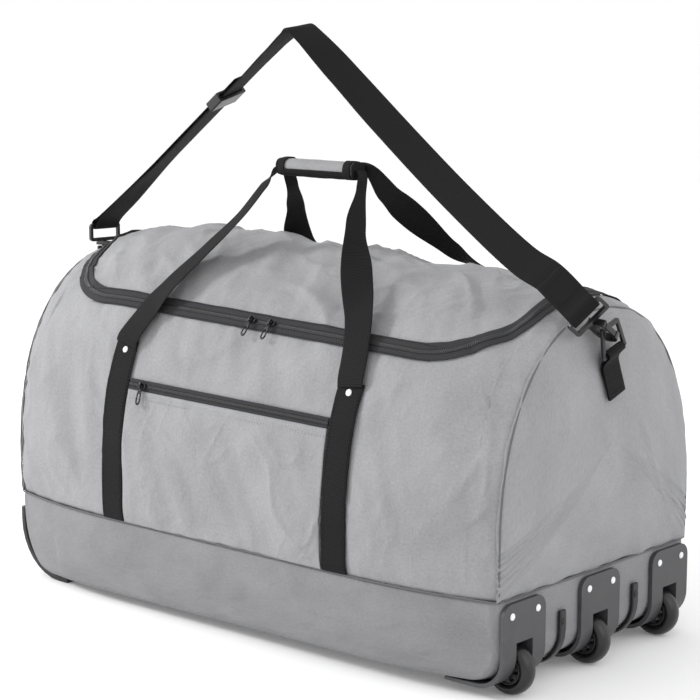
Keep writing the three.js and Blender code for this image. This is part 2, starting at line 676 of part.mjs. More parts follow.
const rearLeft = [
  { p: onSkin(-198, -S_RIVET - 15, 6), w: [1, 0, 0] },
  { p: onSkin(-197, -S_RIVET - 50, 7), w: [1, 0, 0] },
  { p: onSkin(-188, -S_RIVET - 92, 18), w: [0.95, 0.2, 0] },
  { p: [-155, 92, 481], w: [0.8, 0.5, 0.05] },
  { p: [-112, 40, 528], w: [0.75, 0.62, 0.1], size: 25 },
  { p: [-79, -2, 561], w: [0.6, 0.6, 0.5], size: 17 },
  { p: [-73, -14.5, 588.5], w: [0.2, -0.05, 0.98], size: 16 },
  { p: [-40, -16, 590], w: [0, 0, 1], size: 18 },
];
const rearRight = [
  { p: onSkin(198, -S_RIVET - 15, 6), w: [1, 0, 0] },
  { p: onSkin(197, -S_RIVET - 50, 7), w: [1, 0, 0] },
  { p: onSkin(186, -S_RIVET - 92, 15), w: [0.92, -0.35, 0.15] },
  { p: [158, 101, 462], w: [0.72, -0.66, 0.2] },
  { p: [129, 78, 485.5], w: [0.85, -0.32, 0.41] },
  { p: [99.5, 35, 529], w: [0.72, 0.08, 0.67] },
  { p: [86, 2, 560], w: [0.25, 0.3, 0.92], size: 28 },
  { p: [72, -16, 588.5], w: [0, 0, 1], size: 18 },
  { p: [40, -16, 590], w: [0, 0, 1], size: 18 },
];
const handle = (left, right) => ribbon([...left, ...right.slice().reverse()], WEBBING, WEBBING_T, 5);
add('front_handle', handle(frontLeft, frontRight), 'webbing');
add('rear_handle', handle(rearLeft, rearRight), 'webbing');

const gripOuter = roundedShape(GRIP[1] - GRIP_SIZE / 2, GRIP[1] + GRIP_SIZE / 2, GRIP[2] - 13, GRIP[2] + 13, 9);
const gripHole = roundedShape(GRIP[1] - 13, GRIP[1] + 13, GRIP[2] - 4, GRIP[2] + 3.4, 1);
gripOuter.holes.push(new THREE.Path(gripHole.getPoints(3).reverse()));
add('grip_wrap', plateYZ(gripOuter, -GRIP_LENGTH / 2, GRIP_LENGTH / 2, 5), 'fabric');

// ---- shoulder strap fittings at both ends ----
const tabProfile = () => {
  const s = new THREE.Shape();
  const back = [340, 352, 366, 380].map((z) => [domeX(0, z) + 0.9, z]);
  const eyeZ = 398;
  const ring = steps(-Math.PI * 0.62, Math.PI * 1.22, 14).map((a) => [RING_X + 6.6 * Math.cos(a), eyeZ + 6.6 * Math.sin(a)]);
  s.moveTo(...back[0]);
  s.lineTo(back[0][0] + 3.4, back[0][1]);
  s.lineTo(back[1][0] + 3.4, back[1][1]);
  s.lineTo(back[2][0] + 4.2, back[2][1]);
  ring.forEach((p) => s.lineTo(...p));
  s.lineTo(back[3][0], back[3][1]);
  s.lineTo(back[2][0], back[2][1]);
  s.lineTo(back[1][0], back[1][1]);
  s.closePath();
  const hole = new THREE.Path();
  hole.absarc(RING_X, eyeZ, 3.6, 0, Math.PI * 2, true);
  s.holes.push(hole);
  return s;
};
const mirrorX = (g) => {
  const m = g.clone().applyMatrix4(new THREE.Matrix4().makeScale(-1, 1, 1));
  const flat = m.index ? m.toNonIndexed() : m;
  const p = flat.attributes.position.array;
  for (let i = 0; i < p.length; i += 9) {
    for (let k = 0; k < 3; k++) {
      const t = p[i + 3 + k];
      p[i + 3 + k] = p[i + 6 + k];
      p[i + 6 + k] = t;
    }
  }
  const out = new THREE.BufferGeometry();
  out.setAttribute('position', new THREE.Float32BufferAttribute(p, 3));
  const merged = mergeVertices(out, 1e-4);
  merged.computeVertexNormals();
  return merged;
};
// the left fittings stand upright; the right ones lean forward, pulled by the strap
const tabFootY = RING_Y + TAB_SHIFT;
const jawReach = JAW_Z - TAB_FOOT_Z;
const jawY = tabFootY - jawReach * Math.sin(TAB_LEAN);
const jawZ = TAB_FOOT_Z + jawReach * Math.cos(TAB_LEAN);
const leanTab = (g) => g.translate(0, -RING_Y, -TAB_FOOT_Z).rotateX(TAB_LEAN).translate(0, tabFootY, TAB_FOOT_Z);
const leanHook = (g) => g.translate(0, -RING_Y, -JAW_Z).rotateX(HOOK_LEAN).translate(0, jawY, jawZ);
const leanFrame = (g) => leanHook(g.translate(-RING_X, -RING_Y, 0).rotateZ(-FRAME_TURN).translate(RING_X, RING_Y, 0));
const turnLeft = (g) => g.translate(RING_X, -RING_Y, 0).rotateZ(-LEFT_FRAME_TURN).translate(-RING_X, RING_Y, 0);
const both = (name, geometry, look, lean, leftLean = (g) => g) => {
  add(`${name}_left`, leftLean(mirrorX(geometry)), look);
  add(`${name}_right`, lean(geometry.clone()), look);
};
both('ring_tab', plateXZ(tabProfile(), RING_Y - 16, RING_Y + 16, 7), 'webbing', leanTab);

// trapezoid ring: long bar in the tab's eye, short bar under the hook
const ringShape = new THREE.Shape([
  [RING_Y - 25, 396], [RING_Y - 23, 395.6], [RING_Y + 23, 395.6], [RING_Y + 25, 396],
  [RING_Y + 18, 433], [RING_Y + 15, 435], [RING_Y - 15, 435], [RING_Y - 18, 433],
].map((p) => new THREE.Vector2(...p)));
ringShape.holes.push(new THREE.Path([
  [RING_Y - 18.5, 400.4], [RING_Y - 13.5, 428.6], [RING_Y + 13.5, 428.6], [RING_Y + 18.5, 400.4],
].map((p) => new THREE.Vector2(...p))));
both('d_ring', plateYZ(ringShape, RING_X - 2.1, RING_X + 2.1), 'plastic', leanTab);

// hook: open loop in the XZ plane round the ring's short bar
const hookShape = new THREE.Shape();
const loopR = 14;
const inR = 8.8;
const hx = RING_X;
const lowZ = HOOK_Z + 10;
const highZ = HOOK_Z + 34;
hookShape.moveTo(hx - loopR, highZ);
hookShape.lineTo(hx - loopR, lowZ);
hookShape.absarc(hx, lowZ, loopR, Math.PI, Math.PI * 2, false);
hookShape.lineTo(hx + loopR, lowZ + 2);
hookShape.lineTo(hx + inR, lowZ + 2);
hookShape.lineTo(hx + inR, lowZ);
hookShape.absarc(hx, lowZ, inR, 0, -Math.PI, true);
hookShape.lineTo(hx - inR, highZ);
hookShape.lineTo(hx + 1.5, highZ);
hookShape.lineTo(hx + 1.5, highZ + 3);
hookShape.lineTo(hx + loopR, highZ + 3);
hookShape.lineTo(hx + loopR, highZ + 7);
hookShape.lineTo(hx + 7, highZ + 9);
hookShape.lineTo(hx - 9, highZ + 9);
hookShape.closePath();
const swivelBore = turned([[0, -20], [3.3, -20], [3.3, 20], [0, 20]], V(hx, RING_Y, highZ + 8), V(0, 0, 1), 14);
const hookSolid = plateXZ(hookShape, RING_Y - 4.5, RING_Y + 4.5, 8);
both('snap_hook', cut(hookSolid, box(hx - 5.6, hx + 5.6, RING_Y - 5, RING_Y + 5, highZ - 1, highZ + 4.4), swivelBore), 'plastic', leanHook);

// sprung gate closing the loop's outer side
const gateShape = roundedShape(hx + 9.4, hx + 13.6, lowZ + 2.5, highZ + 1.2, 1.2);
both('hook_gate', plateXZ(gateShape, RING_Y - 3.4, RING_Y + 3.4, 2), 'plastic', leanHook);

// swivel frame: a pin through the hook's top and a slotted bar for the webbing
const frameZ = highZ + 9.6;
const frameShape = roundedShape(RING_Y - 26, RING_Y + 26, frameZ, frameZ + 26, 5);
const frameHole = roundedShape(RING_Y - 21.5, RING_Y + 21.5, frameZ + 5, frameZ + 21, 2);
frameShape.holes.push(new THREE.Path(frameHole.getPoints(3).reverse()));
const frame = plateYZ(frameShape, hx - 2.3, hx + 2.3, 4);
const pin = turned([[0, 0.8], [4.8, 0.8], [4.8, 3.7], [2.9, 3.7], [2.9, 11.2], [0, 11.2]], V(hx, RING_Y, highZ), V(0, 0, 1), 14);
both('swivel_frame', union(frame, pin), 'plastic', leanFrame, turnLeft);

// ---- shoulder strap: one ribbon, folded round each swivel frame ----
const barZ = frameZ + 23.5;
const rightBar = new THREE.BufferGeometry().setAttribute(
  'position', new THREE.Float32BufferAttribute([hx, RING_Y, barZ, hx, RING_Y + 1, barZ], 3));
const [barX, barY, barHigh, besideX, besideY, besideZ] = leanFrame(rightBar).attributes.position.array;
const rightAt = V(barX, barY, barHigh);
const rightWide = V(besideX - barX, besideY - barY, besideZ - barHigh).normalize();
const leftAt = V(-hx, RING_Y, barZ);
const leftWide = V(Math.sin(LEFT_FRAME_TURN), Math.cos(LEFT_FRAME_TURN), 0);
const squareTo = (dir, wide) => dir.addScaledVector(wide, -dir.dot(wide)).normalize();
const rightDir = squareTo(V(-0.819, 0.033, 0.572), rightWide);
const leftDir = squareTo(V(0.82831, -0.09865, 0.55152), leftWide);
const leftTwist = squareTo(V(-0.1, 0.97, 0.2), leftDir);
const upFrom = (dir, wide) => {
  const up = dir.clone().cross(wide).normalize();
  return up.z < 0 ? up.negate() : up;
};
const foldStations = (at, dir, wide, tail, twist = wide) => {
  const up = upFrom(dir, wide);
  const farUp = upFrom(dir, twist);
  const w = wide.toArray();
  const far = (along) => at.clone().addScaledVector(dir, along).addScaledVector(farUp, 4.2).toArray();
  const go = (along, off) => at.clone().addScaledVector(dir, along).addScaledVector(up, off).toArray();
  return {
    over: [
      { p: far(tail), w: twist.toArray() },
      { p: far(tail * 0.5), w: twist.toArray() },
      { p: go(16, 4.2), w },
    ],
    round: [
      { p: go(3, 6), w },
      { p: go(-6.4, 1), w },
      { p: go(1, -6), w },
      { p: go(14, -1.4), w },
    ],
    under: (along) => go(along, 0),
  };
};
const leftFold = foldStations(leftAt, leftDir, leftWide, 400, leftTwist);
const rightFold = foldStations(rightAt, rightDir, rightWide, 62);
const strapStations = [
  ...leftFold.over,
  ...leftFold.round,
  { p: leftFold.under(60), w: leftWide.toArray() },
  { p: leftFold.under(200), w: leftTwist.toArray() },
  { p: leftFold.under(400), w: leftTwist.toArray() },
  { p: leftFold.under(470), w: [0.02, 0.96, 0.2] },
  { p: [-28, -58, 765], w: [0.15, 0.95, 0.15] },
  { p: [-14, -60, 773], w: [0.25, 0.93, 0.15] },
  { p: [1, -61, 765], w: [0.3, 0.9, 0.25] },
  { p: [64, -62, 716], w: [0.45, 0.75, 0.45] },
  { p: [137, -64, 658], w: [0.5, 0.6, 0.6] },
  { p: [261, -69, 566], w: rightWide.toArray() },
  { p: [364, -75, 500], w: rightWide.toArray() },
  { p: rightFold.under(62), w: rightWide.toArray() },
  ...rightFold.round.slice().reverse(),
  ...rightFold.over.slice().reverse(),
];
add('shoulder_strap', ribbon(strapStations, WEBBING, WEBBING_T, 3), 'webbing');

// adjuster frame that both layers of the left branch pass through
const glide = new THREE.ExtrudeGeometry((() => {
  const s = roundedShape(-26, 26, -5.8, 8, 2.5);
  s.holes.push(new THREE.Path(roundedShape(-21.2, 21.2, -2.4, 6.2, 0.6).getPoints(2).reverse()));
  return s;
})(), { depth: 26, bevelEnabled: false, curveSegments: 3 });
const glideUp = upFrom(leftDir, leftTwist);
const glideSide = leftTwist;
const glideBase = new THREE.Matrix4().makeBasis(glideSide, glideUp, glideSide.clone().cross(glideUp));
glide.translate(0, 0, -13);
glide.applyMatrix4(glideBase);
const glideAt = V(...leftFold.under(350));
glide.translate(glideAt.x, glideAt.y, glideAt.z);
add('tri_glide', glide, 'plastic');

// ---- zip sliders and pulls ----
const slider = (x, s, lift) => {
  const normal = skinNormal(x, s);
  const centre = skin(x, s, lift);
  const along = skinRaw(x + 1, s).sub(skinRaw(x - 1, s)).normalize();
  const up = normal.clone().cross(along).normalize();
  const frameM = new THREE.Matrix4().makeBasis(along, up, normal).setPosition(centre);
  const body = new THREE.ExtrudeGeometry(roundedShape(-7, 7, -4.6, 4.6, 2), {
    depth: 3.2, bevelEnabled: false, curveSegments: 3,
  });
  const bridge = box(-1.4, 1.4, -4, 4, 3, 7);
  const window = box(-3, 3, -2.2, 2.2, 3.3, 5.7);
  const solid = cut(union(body, bridge), window);

  return { solid, frameM };
};
const pullPlate = () => {
  const s = roundedShape(-4, 4, -26, 1.8, 1.6);
  const eye = new THREE.Path(roundedShape(-1.9, 1.9, -5.4, 0.6, 0.2).getPoints(2).reverse());
  const slot = new THREE.Path(roundedShape(-2, 2, -22, -10, 1.9).getPoints(4).reverse());
  s.holes.push(eye, slot);
  return s;
};
const sliders = [
  ['main_a', 4, S_ZIP, 3.2],
  ['main_b', 38, S_ZIP, 3.2],
  ['pocket', -150, S_POCKET_ZIP, 2.9],
];
for (const [tag, x, s, lift] of sliders) {
  const { solid, frameM } = slider(x, s, lift);
  add(`zip_slider_${tag}`, solid.applyMatrix4(frameM), 'gunmetal');
  const pull = new THREE.ExtrudeGeometry(pullPlate(), { depth: 1.4, bevelEnabled: false, curveSegments: 2 });
  pull.translate(0, 0, 3.8);
  pull.applyMatrix4(frameM);
  add(`zip_pull_${tag}`, pull, 'gunmetal');
}

export default group;
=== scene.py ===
import math

import bmesh
import bpy
from mathutils import Matrix, Vector, noise
from mathutils.bvhtree import BVHTree


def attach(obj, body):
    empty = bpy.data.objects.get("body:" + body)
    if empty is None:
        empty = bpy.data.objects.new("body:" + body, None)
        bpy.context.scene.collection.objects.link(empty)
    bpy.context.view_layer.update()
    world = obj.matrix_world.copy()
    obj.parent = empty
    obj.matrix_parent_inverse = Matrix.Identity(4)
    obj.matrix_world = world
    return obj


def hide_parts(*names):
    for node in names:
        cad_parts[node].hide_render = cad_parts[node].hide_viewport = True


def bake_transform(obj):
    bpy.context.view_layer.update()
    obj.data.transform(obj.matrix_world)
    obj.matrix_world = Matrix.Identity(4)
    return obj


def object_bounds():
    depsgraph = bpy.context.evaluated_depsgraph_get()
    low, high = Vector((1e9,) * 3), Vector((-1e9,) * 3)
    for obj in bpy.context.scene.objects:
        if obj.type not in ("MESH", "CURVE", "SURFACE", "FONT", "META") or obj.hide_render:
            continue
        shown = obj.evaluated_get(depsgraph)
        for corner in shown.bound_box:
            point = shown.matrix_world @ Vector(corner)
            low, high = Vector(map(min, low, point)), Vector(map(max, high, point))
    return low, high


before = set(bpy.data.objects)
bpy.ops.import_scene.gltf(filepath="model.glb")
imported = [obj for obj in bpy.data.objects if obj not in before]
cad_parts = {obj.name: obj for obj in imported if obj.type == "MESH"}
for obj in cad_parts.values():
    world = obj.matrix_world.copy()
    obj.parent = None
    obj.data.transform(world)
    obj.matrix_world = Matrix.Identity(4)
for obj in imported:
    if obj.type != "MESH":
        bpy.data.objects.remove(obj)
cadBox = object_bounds()
mm = 0.001


def toLinear(code):  # sRGB hex to linear colour with alpha
    parts = [int(code[i:i + 2], 16) / 255 for i in (0, 2, 4)]
    return tuple(p / 12.92 if p <= 0.04045 else ((p + 0.055) / 1.055) ** 2.4 for p in parts) + (1.0,)


def addNode(tree, kind, inputs=None, **settings):
    node = tree.nodes.new(kind)
    for key, value in settings.items():
        setattr(node, key, value)
    for key, value in (inputs or {}).items():
        if isinstance(value, bpy.types.NodeSocket):
            tree.links.new(value, node.inputs[key])
        else:
            node.inputs[key].default_value = value
    return node


def startMaterial(name, **constants):
    material = bpy.data.materials.new(name)
    material.use_nodes = True
    tree = material.node_tree
    tree.nodes.clear()
    shader = addNode(tree, "ShaderNodeBsdfPrincipled")
    for key, value in constants.items():
        shader.inputs[key.replace("_", " ")].default_value = value
    output = addNode(tree, "ShaderNodeOutputMaterial")
    tree.links.new(shader.outputs["BSDF"], output.inputs["Surface"])
    return material, tree, shader


def bands(tree, vector, periodMm, direction, profile="SIN"):  # stripes with a real spacing
    return addNode(tree, "ShaderNodeTexWave",
                   {"Vector": vector, "Scale": 314.16 / periodMm, "Distortion": 0.0},
                   wave_type="BANDS", bands_direction=direction, wave_profile=profile).outputs["Fac"]


def speckle(tree, vector, sizeMm, detail=3.0):  # soft noise with a real grain size
    return addNode(tree, "ShaderNodeTexNoise",
                   {"Vector": vector, "Scale": 1000 / sizeMm, "Detail": detail}).outputs["Fac"]


def arithmetic(tree, operation, first, second):
    return addNode(tree, "ShaderNodeMath", {0: first, 1: second}, operation=operation).outputs[0]


def tintBetween(tree, factor, darkHex, lightHex, low=0.3, high=0.7):
    ramp = addNode(tree, "ShaderNodeValToRGB", {"Fac": factor})
    ramp.color_ramp.elements[0].position = low
    ramp.color_ramp.elements[0].color = toLinear(darkHex)
    ramp.color_ramp.elements[1].position = high
    ramp.color_ramp.elements[1].color = toLinear(lightHex)
    return ramp.outputs["Color"]


def canvasMaterial(name, darkHex, lightHex):
    # polyester canvas, plain woven: matt, faintly mottled, with thread lines drawn at 1.3 mm so they show
    material, tree, shader = startMaterial(name, Metallic=0.0, Specular_IOR_Level=0.25, Sheen_Weight=0.08,
                                           Sheen_Roughness=0.6, IOR=1.5)
    uv = addNode(tree, "ShaderNodeUVMap", uv_map="cloth").outputs["UV"]
    warp = bands(tree, uv, 1.3, "X")
    weft = bands(tree, uv, 1.3, "Y")
    weave = arithmetic(tree, "MULTIPLY", warp, weft)
    slub = speckle(tree, uv, 3.5, 6.0)
    cloud = speckle(tree, uv, 90.0, 2.0)
    tone = arithmetic(tree, "ADD", arithmetic(tree, "MULTIPLY", slub, 0.45),
                      arithmetic(tree, "MULTIPLY", cloud, 0.4))
    tone = arithmetic(tree, "ADD", tone, arithmetic(tree, "MULTIPLY", weave, 0.22))
    tree.links.new(tintBetween(tree, tone, darkHex, lightHex, 0.25, 0.75), shader.inputs["Base Color"])
    rough = addNode(tree, "ShaderNodeMapRange", {"Value": slub, "To Min": 0.78, "To Max": 0.95})
    tree.links.new(rough.outputs[0], shader.inputs["Roughness"])
    height = arithmetic(tree, "ADD", weave, arithmetic(tree, "MULTIPLY", slub, 1.3))
    crumple = addNode(tree, "ShaderNodeBump",
                      {"Height": speckle(tree, uv, 38.0, 6.0), "Strength": 0.9, "Distance": 0.005})
    bump = addNode(tree, "ShaderNodeBump", {
        "Height": height, "Strength": 0.55, "Distance": 0.00018, "Normal": crumple.outputs["Normal"]})
    tree.links.new(bump.outputs["Normal"], shader.inputs["Normal"])
    return material


def webbingMaterial(name, darkHex, lightHex, ribMm=2.4):
    # woven polypropylene webbing: cross ribs with a dry sheen along the thread
    material, tree, shader = startMaterial(name, Metallic=0.0, Specular_IOR_Level=0.14, Sheen_Weight=0.01,
                                           Sheen_Roughness=0.5, IOR=1.49)
    uv = addNode(tree, "ShaderNodeUVMap", uv_map="cloth").outputs["UV"]
    ribs = bands(tree, uv, ribMm, "Y")
    ends = bands(tree, uv, 1.9, "X")
    fuzz = speckle(tree, uv, 1.6, 4.0)
    weave = arithmetic(tree, "ADD", arithmetic(tree, "MULTIPLY", ribs, 0.7),
                       arithmetic(tree, "MULTIPLY", ends, 0.3))
    tone = arithmetic(tree, "ADD", arithmetic(tree, "MULTIPLY", weave, 0.6),
                      arithmetic(tree, "MULTIPLY", fuzz, 0.4))
    tree.links.new(tintBetween(tree, tone, darkHex, lightHex, 0.2, 0.85), shader.inputs["Base Color"])
    rough = addNode(tree, "ShaderNodeMapRange", {"Value": fuzz, "To Min": 0.6, "To Max": 0.85})
    tree.links.new(rough.outputs[0], shader.inputs["Roughness"])
    bump = addNode(tree, "ShaderNodeBump", {"Height": tone, "Strength": 1.0, "Distance": 0.0007})
    tree.links.new(bump.outputs["Normal"], shader.inputs["Normal"])
    return material


def mouldedMaterial(name, darkHex, lightHex, rough=(0.38, 0.52), grainMm=0.9, depth=0.00005, **constants):
    # injection-moulded plastic: fine spark-eroded grain and slightly paler, polished high spots
    material, tree, shader = startMaterial(name, Metallic=0.0, IOR=1.49, **constants)
    place = addNode(tree, "ShaderNodeTexCoord").outputs["Object"]
    grain = speckle(tree, place, grainMm, 4.0)
    handling = speckle(tree, place, 22.0, 3.0)
    tone = arithmetic(tree, "ADD", arithmetic(tree, "MULTIPLY", grain, 0.4),
                      arithmetic(tree, "MULTIPLY", handling, 0.6))
    tree.links.new(tintBetween(tree, tone, darkHex, lightHex), shader.inputs["Base Color"])
    roughness = addNode(tree, "ShaderNodeMapRange",
                        {"Value": handling, "To Min": rough[0], "To Max": rough[1]})
    tree.links.new(roughness.outputs[0], shader.inputs["Roughness"])
    bump = addNode(tree, "ShaderNodeBump", {"Height": grain, "Strength": 0.4, "Distance": depth})
    tree.links.new(bump.outputs["Normal"], shader.inputs["Normal"])
    return material


def metalMaterial(name, darkHex, lightHex, rough=(0.25, 0.42)):
    # plated zinc alloy: mottled plating with fine tumbling scratches
    material, tree, shader = startMaterial(name, Metallic=1.0)
    place = addNode(tree, "ShaderNodeTexCoord").outputs["Object"]
    plating = speckle(tree, place, 2.5, 6.0)
    tree.links.new(tintBetween(tree, plating, darkHex, lightHex), shader.inputs["Base Color"])
    roughness = addNode(tree, "ShaderNodeMapRange",
                        {"Value": plating, "To Min": rough[0], "To Max": rough[1]})
    tree.links.new(roughness.outputs[0], shader.inputs["Roughness"])
    bump = addNode(tree, "ShaderNodeBump",
                   {"Height": speckle(tree, place, 0.6, 2.0), "Strength": 0.2, "Distance": 0.00003})
    tree.links.new(bump.outputs["Normal"], shader.inputs["Normal"])
    return material


greyCanvas = canvasMaterial("greyCanvas", "838385", "a0a0a2")
# tray canvas: the same canvas made darker, painted shade for the downward-facing tray
trayCanvasPaintedShade = canvasMaterial("trayCanvasPaintedShade", "747476", "8f8f91")
blackWebbing = webbingMaterial("blackWebbing", "070708", "212122")
zipTapeCloth = webbingMaterial("zipTapeCloth", "232325", "464648", 1.7)
seamThread = webbingMaterial("seamThread", "161617", "2e2e2f", 1.2)
# seam piping: the bag's own canvas piping, its colour darkened below the canvas grey as painted shade of the
# seam groove
pipingPaintedShade = webbingMaterial("pipingPaintedShade", "5f5f61", "7a7a7c", 1.2)
greyThread = webbingMaterial("greyThread", "9a9a9c", "cfcfd1", 1.2)
coilNylon = mouldedMaterial("coilNylon", "0e0e0f", "202021", (0.35, 0.5), 0.8)
housingPlastic = mouldedMaterial("housingPlastic", "3b3b3d", "4a4a4c", (0.42, 0.56), 1.1, 0.00008)
blackPlastic = mouldedMaterial("blackPlastic", "0e0e0f", "1c1c1d", (0.28, 0.42), 0.9)
hubPlastic = mouldedMaterial("hubPlastic", "121213", "242425", (0.32, 0.48), 0.9)
tyreRubber = mouldedMaterial("tyreRubber", "0f0f10", "1d1d1e", (0.28, 0.42), 1.3, 0.00006)
whiteEnamel = mouldedMaterial("whiteEnamel", "dcdcdc", "f4f4f4", (0.18, 0.3), 1.5, 0.00002, Coat_Weight=0.4)
gunmetal = metalMaterial("gunmetal", "242426", "48484b")
turnedSteel = metalMaterial("turnedSteel", "a0a0a4", "d0d0d4")
pressedBoard = mouldedMaterial("pressedBoard", "57483a", "7b6a56", (0.7, 0.9), 4.0, 0.0002)
print("materials ready")

# bag skin in millimetres: x runs along the bag, s runs across it over the top
bag = {
    "halfLength": 424, "plateau": 222, "halfMid": 227, "halfEnd": 199, "top": 482, "slope": -0.045,
    "dropLeft": 43, "dropRight": 19, "shoulder": 180, "seam": 122, "round": 2.2, "bulge": 16, "skin": 4,
    "zipY": -164, "zipSpan": 385, "zipCorner": 118, "zipEdge": 4, "rivetZ": 343, "strapX": 198,
    "baseLeft": 9, "baseRight": 20, "domeZ": 285,
}


def endEase(x):
    return max(0, (abs(x) - bag["plateau"]) / (425 - bag["plateau"])) ** 2


def halfWidth(x):
    return bag["halfMid"] - (bag["halfMid"] - bag["halfEnd"]) * endEase(x)


def topHeight(x):
    return bag["top"] + bag["slope"] * x - (bag["dropLeft"] if x < 0 else bag["dropRight"]) * endEase(x)


def sectionPoint(x, q):
    w = halfWidth(x)
    rise = bag["shoulder"] - bag["seam"]
    if q <= 0:
        return -w, bag["shoulder"] + q * rise
    if q >= 2:
        return w, bag["shoulder"] - (q - 2) * rise
    c, n = math.cos(q * math.pi / 2), math.sin(q * math.pi / 2)
    y = -math.copysign(1, c) * w * abs(c) ** (2 / bag["round"])
    return y, bag["shoulder"] + (topHeight(x) - bag["shoulder"]) * n ** (2 / bag["round"])


arcTable = []  # running length, q, y and z on the middle section
travelled, previous = 0.0, None
for step in range(1601):
    q = -1 + 4 * step / 1600
    point = sectionPoint(0, q)
    if previous:
        travelled += math.dist(point, previous)
    arcTable.append((travelled, q, point[0], point[1]))
    previous = point
arcHalf = travelled / 2


def qAt(s):
    want = min(max(s, -arcHalf), arcHalf) + arcHalf
    low, high = 0, len(arcTable) - 1
    while high - low > 1:
        middle = (low + high) // 2
        if arcTable[middle][0] <= want:
            low = middle
        else:
            high = middle
    a, b = arcTable[low], arcTable[high]
    return a[1] + (b[1] - a[1]) * (want - a[0]) / (b[0] - a[0])


def arcWhere(test):
    return next(row for row in arcTable if test(row))[0] - arcHalf


zipS = arcWhere(lambda row: row[2] > bag["zipY"] and row[1] > 0)
rearS = -zipS
rivetS = arcWhere(lambda row: row[3] > bag["rivetZ"])
pocketZipS = arcWhere(lambda row: row[3] > 303)


def skinRaw(x, s):
    y, z = sectionPoint(x, qAt(s))
    return Vector((x, y, z))


def skinNormal(x, s):
    s = min(max(s, -arcHalf + 3), arcHalf - 3)
    along = skinRaw(x + 1, s) - skinRaw(x - 1, s)
    return along.cross(skinRaw(x, s + 3) - skinRaw(x, s - 3)).normalized()


def skin(x, s, off):  # a point off the smooth skin, in millimetres
    return skinRaw(x, s) + skinNormal(x, s) * off


def ripple(a, b, seed):
    return noise.noise(Vector((a, b, seed * 7.31)))


def near(distance, reach):
    return math.exp(-(distance / reach) ** 2)


def crease(a, b, seed, sharp=5.0):  # narrow ridges that wander along the zero line of a soft noise
    return max(0, 1 - abs(ripple(a, b, seed)) * sharp) ** 2


def clothLift(x, s):  # how far the slack cloth stands off the smooth skin
    toEnd = bag["halfLength"] - abs(x)
    toBand = arcHalf - abs(s)
    onFront = s < 0
    toZip = abs(s - zipS) if abs(x) < bag["zipSpan"] else 60
    calm = (1 - 0.92 * near(toZip, 26)) * (1 - 0.95 * near(toEnd, 14)) * (1 - 0.8 * near(toBand, 14))
    if onFront:
        calm *= 1 - 0.9 * near(s - pocketZipS, 24) * (abs(x) < 190)
        calm *= 1 - 0.8 * near(abs(x) - bag["strapX"], 24) * (s < zipS)
    wide = 7.5 * ripple(x / 150, s / 130, 1) + 4.0 * ripple(x / 66, s / 80, 2)
    folds = 3.0 * ripple(x / 34 + s / 90, s / 120, 3)
    loose = max(0, ripple(x / 130, s / 120, 52) + 0.25)
    rumple = 4.2 * crease(x / 60 + s / 110, s / 100 - x / 190, 51) * loose
    rumple += 2.8 * crease(x / 30 - s / 80, s / 70, 53) * max(0, ripple(x / 90, s / 100, 54) + 0.15)
    seamFade = 1 - math.exp(-toEnd / 5)
    endPucker = 4.6 * ripple(s / 15, x / 90, 4) * math.exp(-toEnd / 30) * seamFade
    zipPucker = 3.0 * ripple(x / 15 + s / 60, s / 70, 5) * math.exp(-toZip / 34) * (toZip > 12)
    bandPucker = 1.5 * ripple(x / 20, s / 60, 6) * math.exp(-toBand / 24)
    onLid = abs(x) < 381 and zipS + 4 < s < rearS
    crown = 0
    if onLid:  # loose flap: long soft folds run across it towards the corners
        inside = min(1, (s - zipS) / 50) * min(1, (381 - abs(x)) / 60)
        crown = 8.0 * ripple(x / 95 + s / 160, s / 210 - x / 400, 8)
        crown += 4.2 * ripple(x / 40 + s / 60, s / 130, 9)
        steep = max(0, ripple(x / 160, s / 140, 55) + 0.35)
        shallow = max(0, ripple(x / 120, s / 110, 57) + 0.2)
        crown += 8.5 * crease(x / 85 + s / 75, s / 200 - x / 260, 10, 3.5) * steep
        crown += 7.0 * crease(x / 150 - s / 45, s / 60 + x / 300, 56, 3.5) * shallow
        crown *= inside
    seamDip = -2.6 * math.exp(-toEnd / 7) - 2.2 * math.exp(-toBand / 8)
    return (wide + folds + rumple) * calm + endPucker + zipPucker + bandPucker + crown + seamDip


def cloth(x, s, off):
    return skin(x, s, off + clothLift(x, s))


def finishPiece(name, bm, material, body, replaces=(), thickness=0.0, offset=-1.0, bevel=0.0,
                subdivide=0):
    mesh = bpy.data.meshes.new(name)
    for face in bm.faces:
        face.smooth = True
    bm.to_mesh(mesh)
    bm.free()
    piece = bpy.data.objects.new(name, mesh)
    bpy.context.scene.collection.objects.link(piece)
    for one in material if isinstance(material, list) else [material]:
        mesh.materials.append(one)
    if thickness:
        solid = piece.modifiers.new("wall", "SOLIDIFY")
        solid.thickness, solid.offset = thickness, offset
    if bevel:
        edge = piece.modifiers.new("edge", "BEVEL")
        edge.width, edge.segments, edge.limit_method, edge.angle_limit = bevel, 2, "ANGLE", math.radians(35)
    if subdivide:
        smooth = piece.modifiers.new("smooth", "SUBSURF")
        smooth.levels = smooth.render_levels = subdivide
    if body:
        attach(piece, body)
    if replaces:
        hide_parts(*replaces)
    return piece


def gridMesh(columns, rows, place, keep=None, size=(1, 1), mergeAt=0.0):
    bm = bmesh.new()
    bmesh.ops.create_grid(bm, x_segments=columns, y_segments=rows, size=0.5)
    layer = bm.loops.layers.uv.new("cloth")
    spots = {v: (v.co.x + 0.5, v.co.y + 0.5) for v in bm.verts}
    for face in bm.faces:
        for loop in face.loops:
            u, v = spots[loop.vert]
            loop[layer].uv = size(u, v) if callable(size) else (u * size[0], v * size[1])
    if keep:
        gone = [f for f in bm.faces if not keep(*[sum(spots[v][k] for v in f.verts) / 4 for k in (0, 1)])]
        bmesh.ops.delete(bm, geom=gone, context="FACES")
    for v in bm.verts:
        v.co = Vector(place(*spots[v])) * mm
    if mergeAt:
        bmesh.ops.remove_doubles(bm, verts=bm.verts, dist=mergeAt)
    return bm


